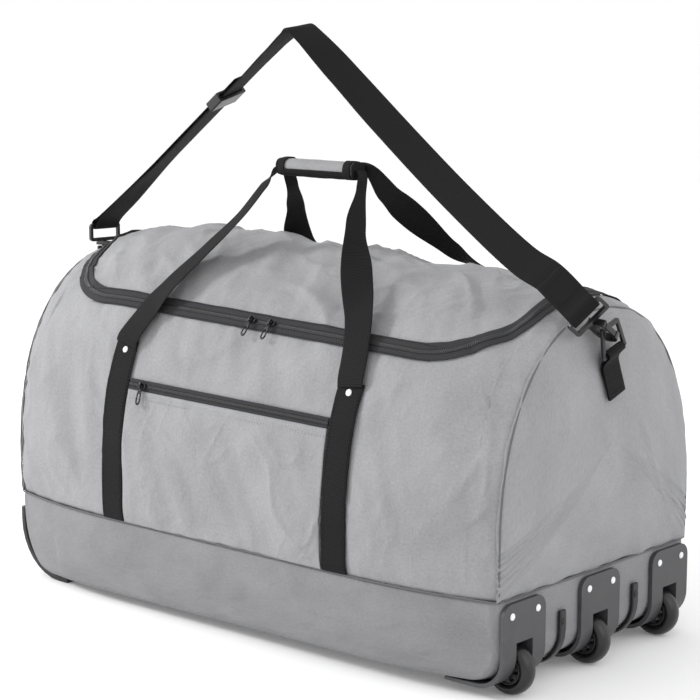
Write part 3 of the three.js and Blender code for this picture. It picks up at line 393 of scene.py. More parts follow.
def faceAway(bm, centre):  # turn an open sheet so that its faces look away from a point, in millimetres
    middle = Vector(centre) * mm
    total = 0
    for face in bm.faces:
        total += (face.calc_center_median() - middle).normalized().dot(face.normal) * face.calc_area()
    if total < 0:
        bmesh.ops.reverse_faces(bm, faces=bm.faces)
    return bm


def mix(a, b, t):
    return a + (b - a) * t


# body wrap: rows follow the U-shaped opening's rounded front corners
wrapCloth = {"rowsLow": 66, "rowsHole": 84, "rowsBack": 50, "thickness": 1.2}
holeX = bag["zipSpan"] + bag["zipEdge"]
holeCorner = bag["zipCorner"] + bag["zipEdge"]


def cornerRise(x):
    past = abs(x) - (holeX - holeCorner)
    if past <= 0:
        return 0
    if abs(x) > holeX:
        return holeCorner * (1 - (abs(x) - holeX) / 60)
    return holeCorner - math.sqrt(max(0, holeCorner ** 2 - past ** 2))


def wrapColumns():
    half = [i * holeX * 0.84 / 74 for i in range(75)]
    half += [holeX * 0.84 + (holeX - holeX * 0.84) * math.sin(i / 26 * math.pi / 2) for i in range(1, 27)]
    half += [holeX + (bag["halfLength"] - holeX) * i / 14 for i in range(1, 15)]
    return [-x for x in reversed(half[1:])] + half


columnX = wrapColumns()
rowS = [mix(-arcHalf, zipS - bag["zipEdge"], i / wrapCloth["rowsLow"]) for i in range(wrapCloth["rowsLow"])]
rowS += [mix(zipS - bag["zipEdge"], rearS, i / wrapCloth["rowsHole"]) for i in range(wrapCloth["rowsHole"])]
rowS += [mix(rearS, arcHalf, i / wrapCloth["rowsBack"]) for i in range(wrapCloth["rowsBack"] + 1)]
frontRow = wrapCloth["rowsLow"]
backRow = frontRow + wrapCloth["rowsHole"]


def wrapSpot(u, v):
    i = min(len(columnX) - 1, round(u * (len(columnX) - 1)))
    j = min(len(rowS) - 1, round(v * (len(rowS) - 1)))
    x = columnX[i]
    away = (frontRow - j) / 38 if j <= frontRow else (j - frontRow) / 40
    return x, rowS[j] + cornerRise(x) * max(0, 1 - away)


def wrapKeep(u, v):
    i = u * (len(columnX) - 1)
    j = v * (len(rowS) - 1)
    x = columnX[int(i)] + (columnX[min(len(columnX) - 1, int(i) + 1)] - columnX[int(i)]) / 2
    return not (abs(x) < holeX and frontRow < j < backRow)


def clothSize(spot):
    return lambda u, v: (spot(u, v)[0] * mm, spot(u, v)[1] * mm)


wrapMesh = gridMesh(len(columnX) - 1, len(rowS) - 1, lambda u, v: cloth(*wrapSpot(u, v), -0.6), wrapKeep,
                    clothSize(wrapSpot))
finishPiece("bodyWrap", faceAway(wrapMesh, (0, 0, 230)), greyCanvas, "bag", ["body_wrap"],
            wrapCloth["thickness"] * mm)

# lid flap: rows are closer together round its front corners
lid = {"reach": bag["zipSpan"] - bag["zipEdge"], "corner": bag["zipCorner"] - bag["zipEdge"],
       "thickness": 1.2}
lidSpan = rearS - zipS - bag["zipEdge"]


def lidSpot(u, v):
    share = 0.3
    radius = lid["corner"]
    if v < share:
        depth = radius * (1 - math.cos(v / share * math.pi / 2))
    else:
        depth = mix(radius, lidSpan, (v - share) / (1 - share))
    inset = 0 if depth >= radius else radius - math.sqrt(radius ** 2 - (radius - depth) ** 2)
    return (2 * u - 1) * (lid["reach"] - inset), zipS + bag["zipEdge"] + depth


lidMesh = gridMesh(200, 110, lambda u, v: cloth(*lidSpot(u, v), -0.4), None, clothSize(lidSpot))
finishPiece("lidFlap", faceAway(lidMesh, (0, 0, 230)), greyCanvas, "bag", ["lid_flap"],
            lid["thickness"] * mm)
print("body wrap and lid ready")

# end panels: a square grid eased into the D shape, domed, with puckers running in from the seam
endPanel = {"cells": 96, "thickness": 1.2, "pucker": 4.2, "highest": 30}


# share 0 to 0.75 goes up the front, over and down the back, then along the bottom
def dOutline(side, share):
    x = side * bag["halfLength"]
    if share <= 0.75:
        return sectionPoint(x, -1 + 4 * share / 0.75)
    w = halfWidth(x)
    return mix(w, -w, (share - 0.75) / 0.25), bag["seam"] + 0.5


def squareShare(a, b):
    r = max(abs(a), abs(b), 1e-9)
    a, b = a / r, b / r
    if a <= -0.9999999:
        return (b + 1) / 2 * 0.25
    if b >= 0.9999999:
        return 0.25 + (a + 1) / 2 * 0.25
    if a >= 0.9999999:
        return 0.5 + (1 - b) / 2 * 0.25
    return 0.75 + (1 - a) / 2 * 0.25


def endSpot(side, u, v):
    a, b = 2 * u - 1, 2 * v - 1
    r = max(abs(a), abs(b))
    share = squareShare(a, b)
    y, z = dOutline(side, share)
    round_ = r ** 0.9
    y, z = y * round_, bag["domeZ"] + (z - bag["domeZ"]) * round_
    calm = near(y + 12, 34) * near(z - 372, 52)
    slack = 7.0 * ripple(y / 110, z / 120, 11 + side) + 3.8 * ripple(y / 44 + z / 90, z / 60, 13 + side)
    slack += 4.0 * crease(y / 60 + z / 90, z / 110, 61 + side) * max(0, ripple(y / 90, z / 90, 63) + 0.3)
    edge = (1 - r) * 190
    pucker = endPanel["pucker"] * ripple(share * 52, r * 2.2, 15 + side) * math.exp(-edge / 42)
    dome = bag["bulge"] * (1 - r * r) + 5 * (1 - r ** 6) * (1 - calm)
    dome += slack * (1 - r ** 4) * (1 - 0.9 * calm) + pucker * (1 - 0.8 * calm)
    dome /= (1 + (max(0, dome) / endPanel["highest"]) ** 4) ** 0.25
    dip = -3.0 * math.exp(-edge / 6)
    return Vector((side * (bag["halfLength"] + 0.4 + dome + dip), y, z))


for side, tag in ((-1, "Left"), (1, "Right")):
    panel = gridMesh(endPanel["cells"], endPanel["cells"], lambda u, v: endSpot(side, u, v), None,
                     (0.42, 0.36))
    finishPiece("endPanel" + tag, faceAway(panel, (0, 0, 280)), greyCanvas, "bag",
                ["end_panel_" + tag.lower()],
                endPanel["thickness"] * mm)

# bottom tray: a wall that goes once round, folded under into the floor
tray = {"around": 420, "up": 30, "under": 10, "thickness": 1.6, "wellX": 366, "wellTop": 74,
        "wellHalf": 19.6}


def arcIn(height, radius):
    return 0 if height >= radius else radius - math.sqrt(radius * radius - (radius - height) ** 2)


def trayOutline(f):
    height = f * (bag["seam"] - 12)
    left = -(bag["halfLength"] - arcIn(height, 70))
    right = bag["halfLength"] - arcIn(height, 44)
    corner, narrow = 14, 9 * (1 - f) + arcIn(height, 12)

    def edge(x):
        return halfWidth(min(420, abs(x))) - narrow
    points = []
    for i in range(61):
        x = mix(left + corner, right - corner, i / 60)
        points.append((x, -edge(x)))
    er, el = edge(right - corner), edge(left + corner)
    for k in range(1, 6):
        a = -math.pi / 2 + k * math.pi / 12
        points.append((right - corner + corner * math.cos(a), -er + corner + corner * math.sin(a)))
    for i in range(31):
        points.append((right, mix(-er + corner, er - corner, i / 30)))
    for k in range(1, 6):
        a = k * math.pi / 12
        points.append((right - corner + corner * math.cos(a), er - corner + corner * math.sin(a)))
    for i in range(61):
        x = mix(right - corner, left + corner, i / 60)
        points.append((x, edge(x)))
    for k in range(1, 6):
        a = math.pi / 2 + k * math.pi / 12
        points.append((left + corner + corner * math.cos(a), el - corner + corner * math.sin(a)))
    for i in range(31):
        points.append((left, mix(el - corner, -el + corner, i / 30)))
    for k in range(1, 6):
        a = math.pi + k * math.pi / 12
        points.append((left + corner + corner * math.cos(a), -el + corner + corner * math.sin(a)))
    return points


def pointAround(points, share):
    place = (share % 1) * len(points)
    i = int(place) % len(points)
    a, b = points[i], points[(i + 1) % len(points)]
    return mix(a[0], b[0], place - int(place)), mix(a[1], b[1], place - int(place))


outlines = [trayOutline((i / tray["up"]) ** 1.6) for i in range(tray["up"] + 1)]


def traySpot(u, v):
    row = v * (tray["up"] + tray["under"]) - tray["under"]
    if row < 0:
        x, y = pointAround(outlines[0], u)
        shrink = 1 + row / tray["under"] * 0.98
        x, y = mix(0, x, shrink), y * shrink
        f, slack = 0, 0
    else:
        i = min(tray["up"], round(row))
        f = (i / tray["up"]) ** 1.6
        x, y = pointAround(outlines[i], u)
        if x > 0:
            calm = near(x - bag["halfLength"], 50) * 0.95
        else:
            calm = near(min(0, x + 440 + 70 * (1 - f) ** 2), 60) * 0.97 * (x < -330)
        folds = 3.4 * ripple(x / 120, y / 90 + f * 1.5, 21) + 1.6 * ripple(x / 38, y / 38 + f * 2.4, 22)
        slack = folds * math.sin(math.pi * min(1, f * 1.05)) * (1 - calm)
        slack += 3.5 * math.sin(math.pi * f) * (1 - calm) - 2.0 * math.exp(-(1 - f) * 110 / 7)
    base = bag["baseLeft"] + (bag["baseRight"] - bag["baseLeft"]) * (x + 425) / 850
    z = base + f * (bag["seam"] - base)
    out = Vector((x / 425, y / 215)).normalized()
    return Vector((x + out.x * slack, y + out.y * slack, z))


def trayKeep(u, v):  # leaves the wheel wells open
    x, y, z = traySpot(round(u * tray["around"] - 0.5) / tray["around"] + 0.5 / tray["around"], v)
    beside = min(abs(y - c) for c in (-155, 0, 155))
    return not (x > tray["wellX"] and z < tray["wellTop"] and beside < tray["wellHalf"])


trayMesh = gridMesh(tray["around"], tray["up"] + tray["under"], traySpot, trayKeep, (2.5, 0.3), 0.00002)
# the tray wears the darkened canvas copy, which is painted shade
finishPiece("bottomTray", faceAway(trayMesh, (0, 0, 90)), trayCanvasPaintedShade, "bag", ["bottom_tray"],
            tray["thickness"] * mm)
print("end panels and tray ready")


def lineLengths(points):
    total, out = 0.0, [0.0]
    for a, b in zip(points, points[1:]):
        total += (b - a).length
        out.append(total)
    return out


def stripSheet(spotAt, low, high, off):  # spotAt gives x, s and the outward (nx, ns) at a share
    def place(u, v):
        x, s, nx, ns = spotAt(u)
        w = mix(low, high, v)
        return cloth(x + nx * w, s + ns * w, off)
    return place


zipLine = []  # x, s, outward nx, ns of the U, at about 2 mm steps
legEnd = rearS - 6
for i in range(121):
    zipLine.append((-bag["zipSpan"], mix(legEnd, zipS + bag["zipCorner"], i / 120), -1, 0))
for i in range(1, 40):
    a = i / 40 * math.pi / 2
    c, n = math.cos(a), math.sin(a)
    x, s = -bag["zipSpan"] + bag["zipCorner"] * (1 - c), zipS + bag["zipCorner"] * (1 - n)
    zipLine.append((x, s, -c, -n))
for i in range(301):
    zipLine.append((mix(-bag["zipSpan"] + bag["zipCorner"], bag["zipSpan"] - bag["zipCorner"], i / 300),
                    zipS, 0, -1))
zipLine += [(-x, s, -nx, ns) for x, s, nx, ns in reversed(zipLine[:160])]
zipRun = lineLengths([Vector((x, s, 0)) for x, s, nx, ns in zipLine])


def zipAt(u):
    want = u * zipRun[-1]
    low, high = 0, len(zipRun) - 1
    while high - low > 1:
        middle = (low + high) // 2
        if zipRun[middle] <= want:
            low = middle
        else:
            high = middle
    t = (want - zipRun[low]) / max(1e-9, zipRun[high] - zipRun[low])
    x, s, nx, ns = [mix(a, b, t) for a, b in zip(zipLine[low], zipLine[high])]
    length = math.hypot(nx, ns)
    return x, s, nx / length, ns / length


mainZip = {"half": 12, "gap": 0.8, "coil": 3.0, "pitch": 2.6, "lift": 1.3}
zipLength = zipRun[-1]
for tag, low, high in (("Outer", mainZip["gap"], mainZip["half"]),
                       ("Inner", -mainZip["half"], -mainZip["gap"])):
    strip = gridMesh(640, 5, stripSheet(zipAt, low, high, mainZip["lift"]), None, (zipLength * mm, 0.011))
    finishPiece("mainZipTape" + tag, faceAway(strip, (0, 0, 230)), zipTapeCloth, "bag", ["main_zip_tape"],
                0.9 * mm, 0)


# a ridge of nylon loops, meshed left and right along its middle
def coilSheet(spotAt, length, half, lift, pitch):
    turns = length / pitch

    def place(u, v):
        x, s, nx, ns = spotAt(u)
        wave = math.cos(2 * math.pi * u * turns)
        side = 2 * v - 1
        w = side * half
        loops = 1.25 + 0.5 * wave * (1 if side < 0 else -1)
        ridge = math.sqrt(max(0, 1 - side * side * 0.9)) * loops - 0.35 * near(side, 0.2)
        return cloth(x + nx * w, s + ns * w, lift + ridge)
    return place


coil = gridMesh(int(zipLength / mainZip["pitch"] * 6), 8,
                coilSheet(zipAt, zipLength, mainZip["coil"], 1.2, mainZip["pitch"]), None,
                (zipLength * mm, 0.006))
finishPiece("mainZipCoil", faceAway(coil, (0, 0, 230)), coilNylon, "bag", [], 0.6 * mm)

pocket = {"half": 176, "zip": 7.4, "thickness": 1.0}


def pocketLine(u):
    return mix(-pocket["half"], pocket["half"], u), pocketZipS, 0, -1


for tag, low, high in (("Lower", 0.6, pocket["zip"]), ("Upper", -pocket["zip"], -0.6)):
    strip = gridMesh(160, 4, stripSheet(pocketLine, low, high, 1.4), None, (0.352, 0.007))
    finishPiece("pocketZipTape" + tag, faceAway(strip, (0, 0, 230)), zipTapeCloth, "bag",
                ["pocket_zip_tape"], 0.9 * mm, 0)
coil = gridMesh(820, 8, coilSheet(pocketLine, 352, 2.4, 1.3, 2.4), None, (0.352, 0.005))
finishPiece("pocketZipCoil", faceAway(coil, (0, 0, 230)), coilNylon, "bag", [], 0.6 * mm)


def pocketSpot(u, v):
    return mix(-pocket["half"], pocket["half"], u), mix(-arcHalf + 1, pocketZipS - pocket["zip"] + 0.4, v)


def pocketPlace(u, v):
    x, s = pocketSpot(u, v)
    slack = 2.2 * ripple(x / 80, s / 50, 31) + 1.2 * ripple(x / 30, s / 40, 32)
    inside = min(1, v / 0.12) * min(1, (1 - v) / 0.1) * min(1, u / 0.08) * min(1, (1 - u) / 0.08)
    hem = 0.8 * near(v - 0.985, 0.012)
    return cloth(x, s, 1.6 + max(-1.0, slack) * inside + hem)


pocketMesh = gridMesh(150, 90, pocketPlace, None, clothSize(pocketSpot))
finishPiece("pocketPanel", faceAway(pocketMesh, (0, 0, 230)), greyCanvas, "bag", ["pocket_panel"],
            pocket["thickness"] * mm, -1)
print("zips and pocket ready")


def stitchRow(name, spots, material, body, length=3.4, gap=1.6, width=0.5):
    bm = bmesh.new()
    layer = bm.loops.layers.uv.new("cloth")
    total = lineLengths(spots)
    want, i = 0.0, 0
    while want + length < total[-1]:
        ends = []
        for reach in (want, want + length):
            while i < len(total) - 2 and total[i + 1] < reach:
                i += 1
            share = (reach - total[i]) / max(1e-9, total[i + 1] - total[i])
            ends.append(spots[i].lerp(spots[i + 1], share))
        along = (ends[1] - ends[0]).normalized()
        turn = along.to_track_quat("X", "Z").to_matrix().to_4x4()
        made = bmesh.ops.create_icosphere(bm, subdivisions=1, radius=1.0)
        stretch = Matrix.Diagonal((length / 2 * mm, width * mm, width * mm, 1))
        shape = Matrix.Translation((ends[0] + ends[1]) / 2 * mm) @ turn @ stretch
        bmesh.ops.transform(bm, matrix=shape, verts=made["verts"])
        want += length + gap
    for face in bm.faces:
        for loop in face.loops:
            loop[layer].uv = (loop.vert.co.x, loop.vert.co.z)
    return finishPiece(name, bm, material, body, [])


def lineOnCloth(spotAt, count, off):
    return [cloth(*spotAt(i / count), off) for i in range(count + 1)]


for tag, shift in (("A", 11.0), ("B", 17.0)):
    line = lineOnCloth(lambda t: (mix(-174, 174, t), pocketZipS - shift), 160, 3.0)
    stitchRow("pocketStitch" + tag, line, greyThread, "bag")
stitchRow("zipStitch", lineOnCloth(lambda t: (mix(-300, 300, t), zipS - 10.2), 300, 2.2), seamThread,
          "bag")
stitchRow("zipStitchLid", lineOnCloth(lambda t: (mix(-300, 300, t), zipS + 10.2), 300, 2.2), seamThread,
          "bag")


def tubeAlong(name, points, radius, material, body, closed=False):
    curve = bpy.data.curves.new(name, "CURVE")
    curve.dimensions = "3D"
    curve.bevel_depth = radius * mm
    curve.bevel_resolution = 2
    curve.use_fill_caps = True
    line = curve.splines.new("POLY")
    line.points.add(len(points) - 1)
    for spot, p in zip(line.points, points):
        spot.co = (*(p * mm), 1)
    line.use_cyclic_u = closed
    rail = bpy.data.objects.new(name + "Rail", curve)
    bpy.context.scene.collection.objects.link(rail)
    bpy.context.view_layer.update()
    mesh = bpy.data.meshes.new_from_object(rail)
    bpy.data.objects.remove(rail)
    bm = bmesh.new()
    bm.from_mesh(mesh)
    bpy.data.meshes.remove(mesh)
    bmesh.ops.remove_doubles(bm, verts=bm.verts, dist=1e-6)
    bmesh.ops.recalc_face_normals(bm, faces=bm.faces)
    layer = bm.loops.layers.uv.get("cloth") or bm.loops.layers.uv.new("cloth")
    for face in bm.faces:
        for loop in face.loops:
            loop[layer].uv = (loop.vert.co.x + loop.vert.co.y, loop.vert.co.z)
    return finishPiece(name, bm, material, body, [])


# end, band and rear seams use the darkened piping colour, which is painted shade of the seam groove
for side, tag in ((-1, "Left"), (1, "Right")):
    line = [cloth(side * (bag["halfLength"] + 0.6), mix(-arcHalf, arcHalf, i / 260), 1.0)
            for i in range(261)]
    tubeAlong("endSeam" + tag, line, 1.2, pipingPaintedShade, "bag")
bandLine = [Vector((*pointAround(outlines[-1], i / 420), bag["seam"] + 0.1)) for i in range(420)]
tubeAlong("bandSeam", bandLine, 1.0, pipingPaintedShade, "bag", True)
rearLine = [cloth(mix(-383, 383, i / 260), rearS, 0.9) for i in range(261)]
tubeAlong("rearSeam", rearLine, 1.1, pipingPaintedShade, "bag")


def centripetal(points, t):  # smooth line through the points, with square-root spacing
    n = len(points) - 1
    place = min(max(t, 0), 1) * n
    i = min(n - 1, int(place))
    f = place - i
    p1, p2 = points[i], points[i + 1]
    p0 = points[i - 1] if i > 0 else p1 * 2 - p2
    p3 = points[i + 2] if i + 2 <= n else p2 * 2 - p1
    d0, d1, d2 = [max(1e-4, (b - a).length_squared ** 0.25) for a, b in ((p0, p1), (p1, p2), (p2, p3))]
    m1 = ((p1 - p0) / d0 - (p2 - p0) / (d0 + d1) + (p2 - p1) / d1) * d1
    m2 = ((p2 - p1) / d1 - (p3 - p1) / (d1 + d2) + (p3 - p2) / d2) * d1
    c2 = -3 * p1 + 3 * p2 - 2 * m1 - m2
    c3 = 2 * p1 - 2 * p2 + m1 + m2
    return p1 + m1 * f + c2 * f * f + c3 * f ** 3


def ribbonFrames(stations, perSpan):
    spots = [Vector(p) for p, w, size in stations]
    n = len(stations) - 1
    frames = []
    for k in range(perSpan * n + 1):
        t = k / (perSpan * n)
        i = min(n - 1, int(t * n))
        f = t * n - i
        ease = f * f * (3 - 2 * f)
        p = centripetal(spots, t)
        along = (centripetal(spots, t + 2e-4) - centripetal(spots, t - 2e-4)).normalized()
        wide = Vector(stations[i][1]).lerp(Vector(stations[i + 1][1]), ease)
        wide = (wide - along * wide.dot(along)).normalized()
        frames.append((p, wide, wide.cross(along), mix(stations[i][2], stations[i + 1][2], ease)))
    return frames


def ribbonMesh(frames, thickness, across=10):  # closed band of webbing with soft edges
    run = lineLengths([f[0] for f in frames])
    ring = []
    for k in range(2 * across):  # flat oval cross-section
        a = 2 * math.pi * k / (2 * across)
        c, n = math.cos(a), math.sin(a)
        ring.append((math.copysign(abs(c) ** 0.35, c), math.copysign(abs(n) ** 0.5, n)))

    def place(u, v):
        i = min(len(frames) - 1, round(u * (len(frames) - 1)))
        p, wide, normal, size = frames[i]
        c, n = ring[round(v * len(ring)) % len(ring)]
        return p + wide * (c * size / 2) + normal * (n * thickness / 2)

    def size(u, v):
        i = min(len(frames) - 1, round(u * (len(frames) - 1)))
        c = ring[round(v * len(ring)) % len(ring)][0]
        return c * frames[i][3] / 2 * mm, run[i] * mm
    bm = gridMesh(len(frames) - 1, len(ring), place, None, size, 1e-7)
    open_ = [e for e in bm.edges if e.is_boundary]
    bmesh.ops.holes_fill(bm, edges=open_, sides=len(ring) + 2)
    bmesh.ops.recalc_face_normals(bm, faces=bm.faces)
    return bm


webbing = {"width": 40, "thickness": 1.9}
for face, direction in (("front", 1), ("rear", -1)):
    for hand, sx in (("left", -1), ("right", 1)):
        x = sx * bag["strapX"]
        frames = []
        for k in range(71):
            s = direction * mix(-arcHalf + 1.5, rivetS + 13, k / 70)
            p = cloth(x, s, 2.6)
            wide = (cloth(x + 12, s, 2.6) - cloth(x - 12, s, 2.6)).normalized()
            along = (cloth(x, s + 2 * direction, 2.6) - cloth(x, s - 2 * direction, 2.6)).normalized()
            frames.append((p, wide, wide.cross(along), webbing["width"]))
        finishPiece(f"sewnStrap_{face}_{hand}", ribbonMesh(frames, webbing["thickness"]), blackWebbing, "bag",
                    [f"sewn_strap_{face}_{hand}"])
        for tag, shift in (("a", -16.5), ("b", 16.5)):
            line = [cloth(x + shift, direction * mix(-arcHalf + 6, rivetS + 6, k / 90), 3.9)
                    for k in range(91)]
            stitchRow(f"strapStitch_{face}_{hand}_{tag}", line, seamThread, "bag", 3.0, 1.4, 0.4)

grip = {"y": -34, "z": 590}
handleRows = {  # along the skin from the rivet, or in the air, each with its width direction and width
    "frontLeft": [
        ((-196, 15, 6), (1, 0, 0), 40), ((-180, 50, 7), (0.95, -0.2, -0.2), 40),
        ((-155, 92, 15), (0.9, -0.4, -0.1), 40),
        ((-130, -112, 483), (0.815, -0.56, -0.15), 38), ((-100, -80, 526), (0.79, -0.6, -0.1), 36),
        ((-84, -52, 564), (0.72, -0.62, -0.3), 26), ((-72, -34, 588.5), (0, -1, 0), 16),
        ((-40, -34, 590), (0, -1, 0), 16)],
    "frontRight": [
        ((197, 15, 6), (-1, 0, 0), 40), ((190, 50, 7), (-1, 0, 0), 40), ((178, 92, 17), (-1, 0, 0.12), 40),
        ((148, -130, 472), (-0.9, -0.42, 0.12), 40), ((110, -88, 525), (-0.66, -0.45, 0.6), 28),
        ((84, -48, 566), (-0.2, -0.8, 0.3), 16), ((72, -34, 588.5), (0, -1, 0), 16),
        ((40, -34, 590), (0, -1, 0), 16)],
    "rearLeft": [
        ((-198, 15, 6), (1, 0, 0), 40), ((-197, 50, 7), (1, 0, 0), 40),
        ((-188, 92, 18), (0.95, 0.2, 0), 40),
        ((-155, 92, 481), (0.8, 0.5, 0.05), 40), ((-112, 40, 528), (0.75, 0.62, 0.1), 25),
        ((-79, -2, 561), (0.6, 0.6, 0.5), 17), ((-73, -14.5, 588.5), (0.2, -0.05, 0.98), 16),
        ((-40, -16, 590), (0, 0, 1), 18)],
    "rearRight": [
        ((198, 15, 6), (1, 0, 0), 40), ((197, 50, 7), (1, 0, 0), 40),
        ((186, 92, 15), (0.92, -0.35, 0.15), 40),
        ((158, 101, 462), (0.72, -0.66, 0.2), 40), ((129, 78, 485.5), (0.85, -0.32, 0.41), 40),
        ((99.5, 35, 529), (0.72, 0.08, 0.67), 40), ((86, 2, 560), (0.25, 0.3, 0.92), 28),
        ((72, -16, 588.5), (0, 0, 1), 18), ((40, -16, 590), (0, 0, 1), 18)],
}


def handleStations(direction):
    halves = []
    for hand in ("Left", "Right"):
        rows = handleRows[("front" if direction > 0 else "rear") + hand]
        x = math.copysign(bag["strapX"], rows[0][0][0])
        half = [(cloth(x, direction * (rivetS + 6.5), 4.6), rows[0][1], 40)]  # tucked just above the rivet
        for k, (spot, wide, size) in enumerate(rows):
            if k < 3:
                lift = max(0, clothLift(spot[0], direction * (rivetS + spot[1]))) * (1 - k / 3)
                spot = skin(spot[0], direction * (rivetS + spot[1]), spot[2] + lift)
            half.append((Vector(spot), wide, size))
        halves.append(half)
    return halves[0] + halves[1][::-1]


for name, direction, body in (("frontHandle", 1, "front_handle"), ("rearHandle", -1, "rear_handle")):
    frames = ribbonFrames(handleStations(direction), 14)
    piece = finishPiece(name, ribbonMesh(frames, webbing["thickness"]), blackWebbing, None, [body])
    rise = (skin(0, direction * (rivetS + 60), 6) - skin(0, direction * rivetS, 4)).normalized()
    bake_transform(piece)
print("webbing ready")

# padded grip: blown up softly, then bound at both ends
padding = {"voxel": 0.004, "pressure": 4.0, "frames": 20, "mostMove": 0.0035, "quality": 6}


def roundedRing(x0, x1, y0, y1, radius, steps=5):
    ring = []
    for cx, cy, start in ((x1 - radius, y0 + radius, -90), (x1 - radius, y1 - radius, 0),
                          (x0 + radius, y1 - radius, 90), (x0 + radius, y0 + radius, 180)):
        for k in range(steps + 1):
            a = math.radians(start + 90 * k / steps)
            ring.append((cx + radius * math.cos(a), cy + radius * math.sin(a)))
    return ring


def bevelSharp(bm, width, segments=2, least=0.6):
    sharp = [e for e in bm.edges if len(e.link_faces) == 2 and e.calc_face_angle(0) > least]
    bmesh.ops.bevel(bm, geom=sharp, offset=width, offset_type="OFFSET", segments=segments, affect="EDGES",
                    profile=0.5, material=-1, clamp_overlap=True)


# flat shape given a thickness, in millimetres
def plateMesh(outline, holes, low, high, matrix=None, bevel=0.0, segments=2):
    bm = bmesh.new()
    edges = []
    for ring in [outline] + list(holes):
        verts = [bm.verts.new((x, y, low)) for x, y in ring]
        edges += [bm.edges.new((a, b)) for a, b in zip(verts, verts[1:] + verts[:1])]
    bmesh.ops.triangle_fill(bm, edges=edges, use_beauty=True)
    risen = bmesh.ops.extrude_face_region(bm, geom=bm.faces[:])
    bmesh.ops.translate(bm, vec=(0, 0, high - low),
                        verts=[v for v in risen["geom"] if isinstance(v, bmesh.types.BMVert)])
    bmesh.ops.recalc_face_normals(bm, faces=bm.faces)
    if bevel:
        bevelSharp(bm, bevel, segments)
    bmesh.ops.transform(bm, matrix=Matrix.Scale(mm, 4) @ (matrix or Matrix()), verts=bm.verts)
    return bm


def turnedMesh(profile, matrix, steps=48):  # radius and height pairs spun about the local Z, in millimetres
    bm = bmesh.new()
    verts = [bm.verts.new((r, 0, h)) for r, h in profile]
    edges = [bm.edges.new((a, b)) for a, b in zip(verts, verts[1:])]
    bmesh.ops.spin(bm, geom=verts + edges, cent=(0, 0, 0), axis=(0, 0, 1), dvec=(0, 0, 0),
                   angle=math.tau, steps=steps, use_merge=True)
    bmesh.ops.remove_doubles(bm, verts=bm.verts, dist=1e-4)
    bmesh.ops.recalc_face_normals(bm, faces=bm.faces)
    bmesh.ops.transform(bm, matrix=Matrix.Scale(mm, 4) @ matrix, verts=bm.verts)
    return bm


def addMesh(bm, other):
    spare = bpy.data.meshes.new("spare")
    other.to_mesh(spare)
    other.free()
    bm.from_mesh(spare)
    bpy.data.meshes.remove(spare)
    return bm


def frameOf(origin, xAxis, yAxis, zAxis):
    return Matrix((
        (xAxis[0], yAxis[0], zAxis[0], origin[0]), (xAxis[1], yAxis[1], zAxis[1], origin[1]),
        (xAxis[2], yAxis[2], zAxis[2], origin[2]), (0, 0, 0, 1)))


def evenShading(piece):
    piece.modifiers.new("shading", "WEIGHTED_NORMAL").keep_sharp = True
    return piece


acrossX = frameOf((0, 0, 0), (0, 1, 0), (0, 0, 1), (1, 0, 0))  # local x, y, z become y, z, x
acrossY = frameOf((0, 0, 0), (1, 0, 0), (0, 0, 1), (0, -1, 0))  # local x, y, z become x, z, -y


def blownUp(bm, pinned):  # swells a closed form with cloth under pressure, never further than the cap
    mesh = bpy.data.meshes.new("padSource")
    bm.to_mesh(mesh)
    bm.free()
    pad = bpy.data.objects.new("padSource", mesh)
    bpy.context.scene.collection.objects.link(pad)
    remesh = pad.modifiers.new("voxels", "REMESH")
    remesh.mode, remesh.voxel_size = "VOXEL", padding["voxel"]
    bpy.context.view_layer.update()
    even = bpy.data.meshes.new_from_object(pad.evaluated_get(bpy.context.evaluated_depsgraph_get()))
    pad.modifiers.clear()
    pad.data = even
    start = [v.co.copy() for v in even.vertices]
    held = pad.vertex_groups.new(name="held")
    held.add([i for i, co in enumerate(start) if pinned(co)], 1.0, "REPLACE")
    swell = pad.modifiers.new("swell", "CLOTH")
    swell.settings.use_pressure = True
    swell.settings.uniform_pressure_force = padding["pressure"]
    swell.settings.vertex_group_mass = "held"
    swell.settings.quality = padding["quality"]
    swell.settings.effector_weights.gravity = 0
    swell.point_cache.frame_start, swell.point_cache.frame_end = 1, padding["frames"]
    for number in range(1, padding["frames"] + 1):
        bpy.context.scene.frame_set(number)
    blown = pad.evaluated_get(bpy.context.evaluated_depsgraph_get()).to_mesh()
    for vertex, first, last in zip(even.vertices, start, [v.co.copy() for v in blown.vertices]):
        move = last - first
        if move.length > padding["mostMove"]:
            move *= padding["mostMove"] / move.length
        vertex.co = first + move
    pad.modifiers.clear()
    bpy.context.scene.frame_set(1)
    out = bmesh.new()
    out.from_mesh(even)
    bpy.data.objects.remove(pad)
    bpy.data.meshes.remove(even)
    return out


def wrapUv(bm):  # cloth lies round the grip: one way along X, the other round the section
    layer = bm.loops.layers.uv.new("cloth")
    for face in bm.faces:
        base = math.atan2(face.calc_center_median().z - 0.59, face.calc_center_median().y + 0.034)
        for loop in face.loops:
            turn = math.atan2(loop.vert.co.z - 0.59, loop.vert.co.y + 0.034)
            turn += math.tau * round((base - turn) / math.tau)
            loop[layer].uv = (loop.vert.co.x, turn * 0.014)


gripRing = roundedRing(-46.5, -21.5, 579.5, 600.5, 8.5, 6)
gripForm = plateMesh(gripRing, [], -65, 65, acrossX, 3.0, 3)
gripSoft = blownUp(gripForm, lambda co: abs(co.x) > 0.0605)
for v in gripSoft.verts:  # the middle is squeezed by the hand, and the cloth lies in small ripples
    squeeze = 1 - 0.05 * near(v.co.x * 1000, 30)
    v.co.y = -0.034 + (v.co.y + 0.034) * squeeze
    fold = 0.0005 * noise.noise(Vector((v.co.x * 46, v.co.y * 90, v.co.z * 90)))
    v.co.z += fold * 2
    v.co.y += fold
wrapUv(gripSoft)
gripTree = BVHTree.FromBMesh(gripSoft)


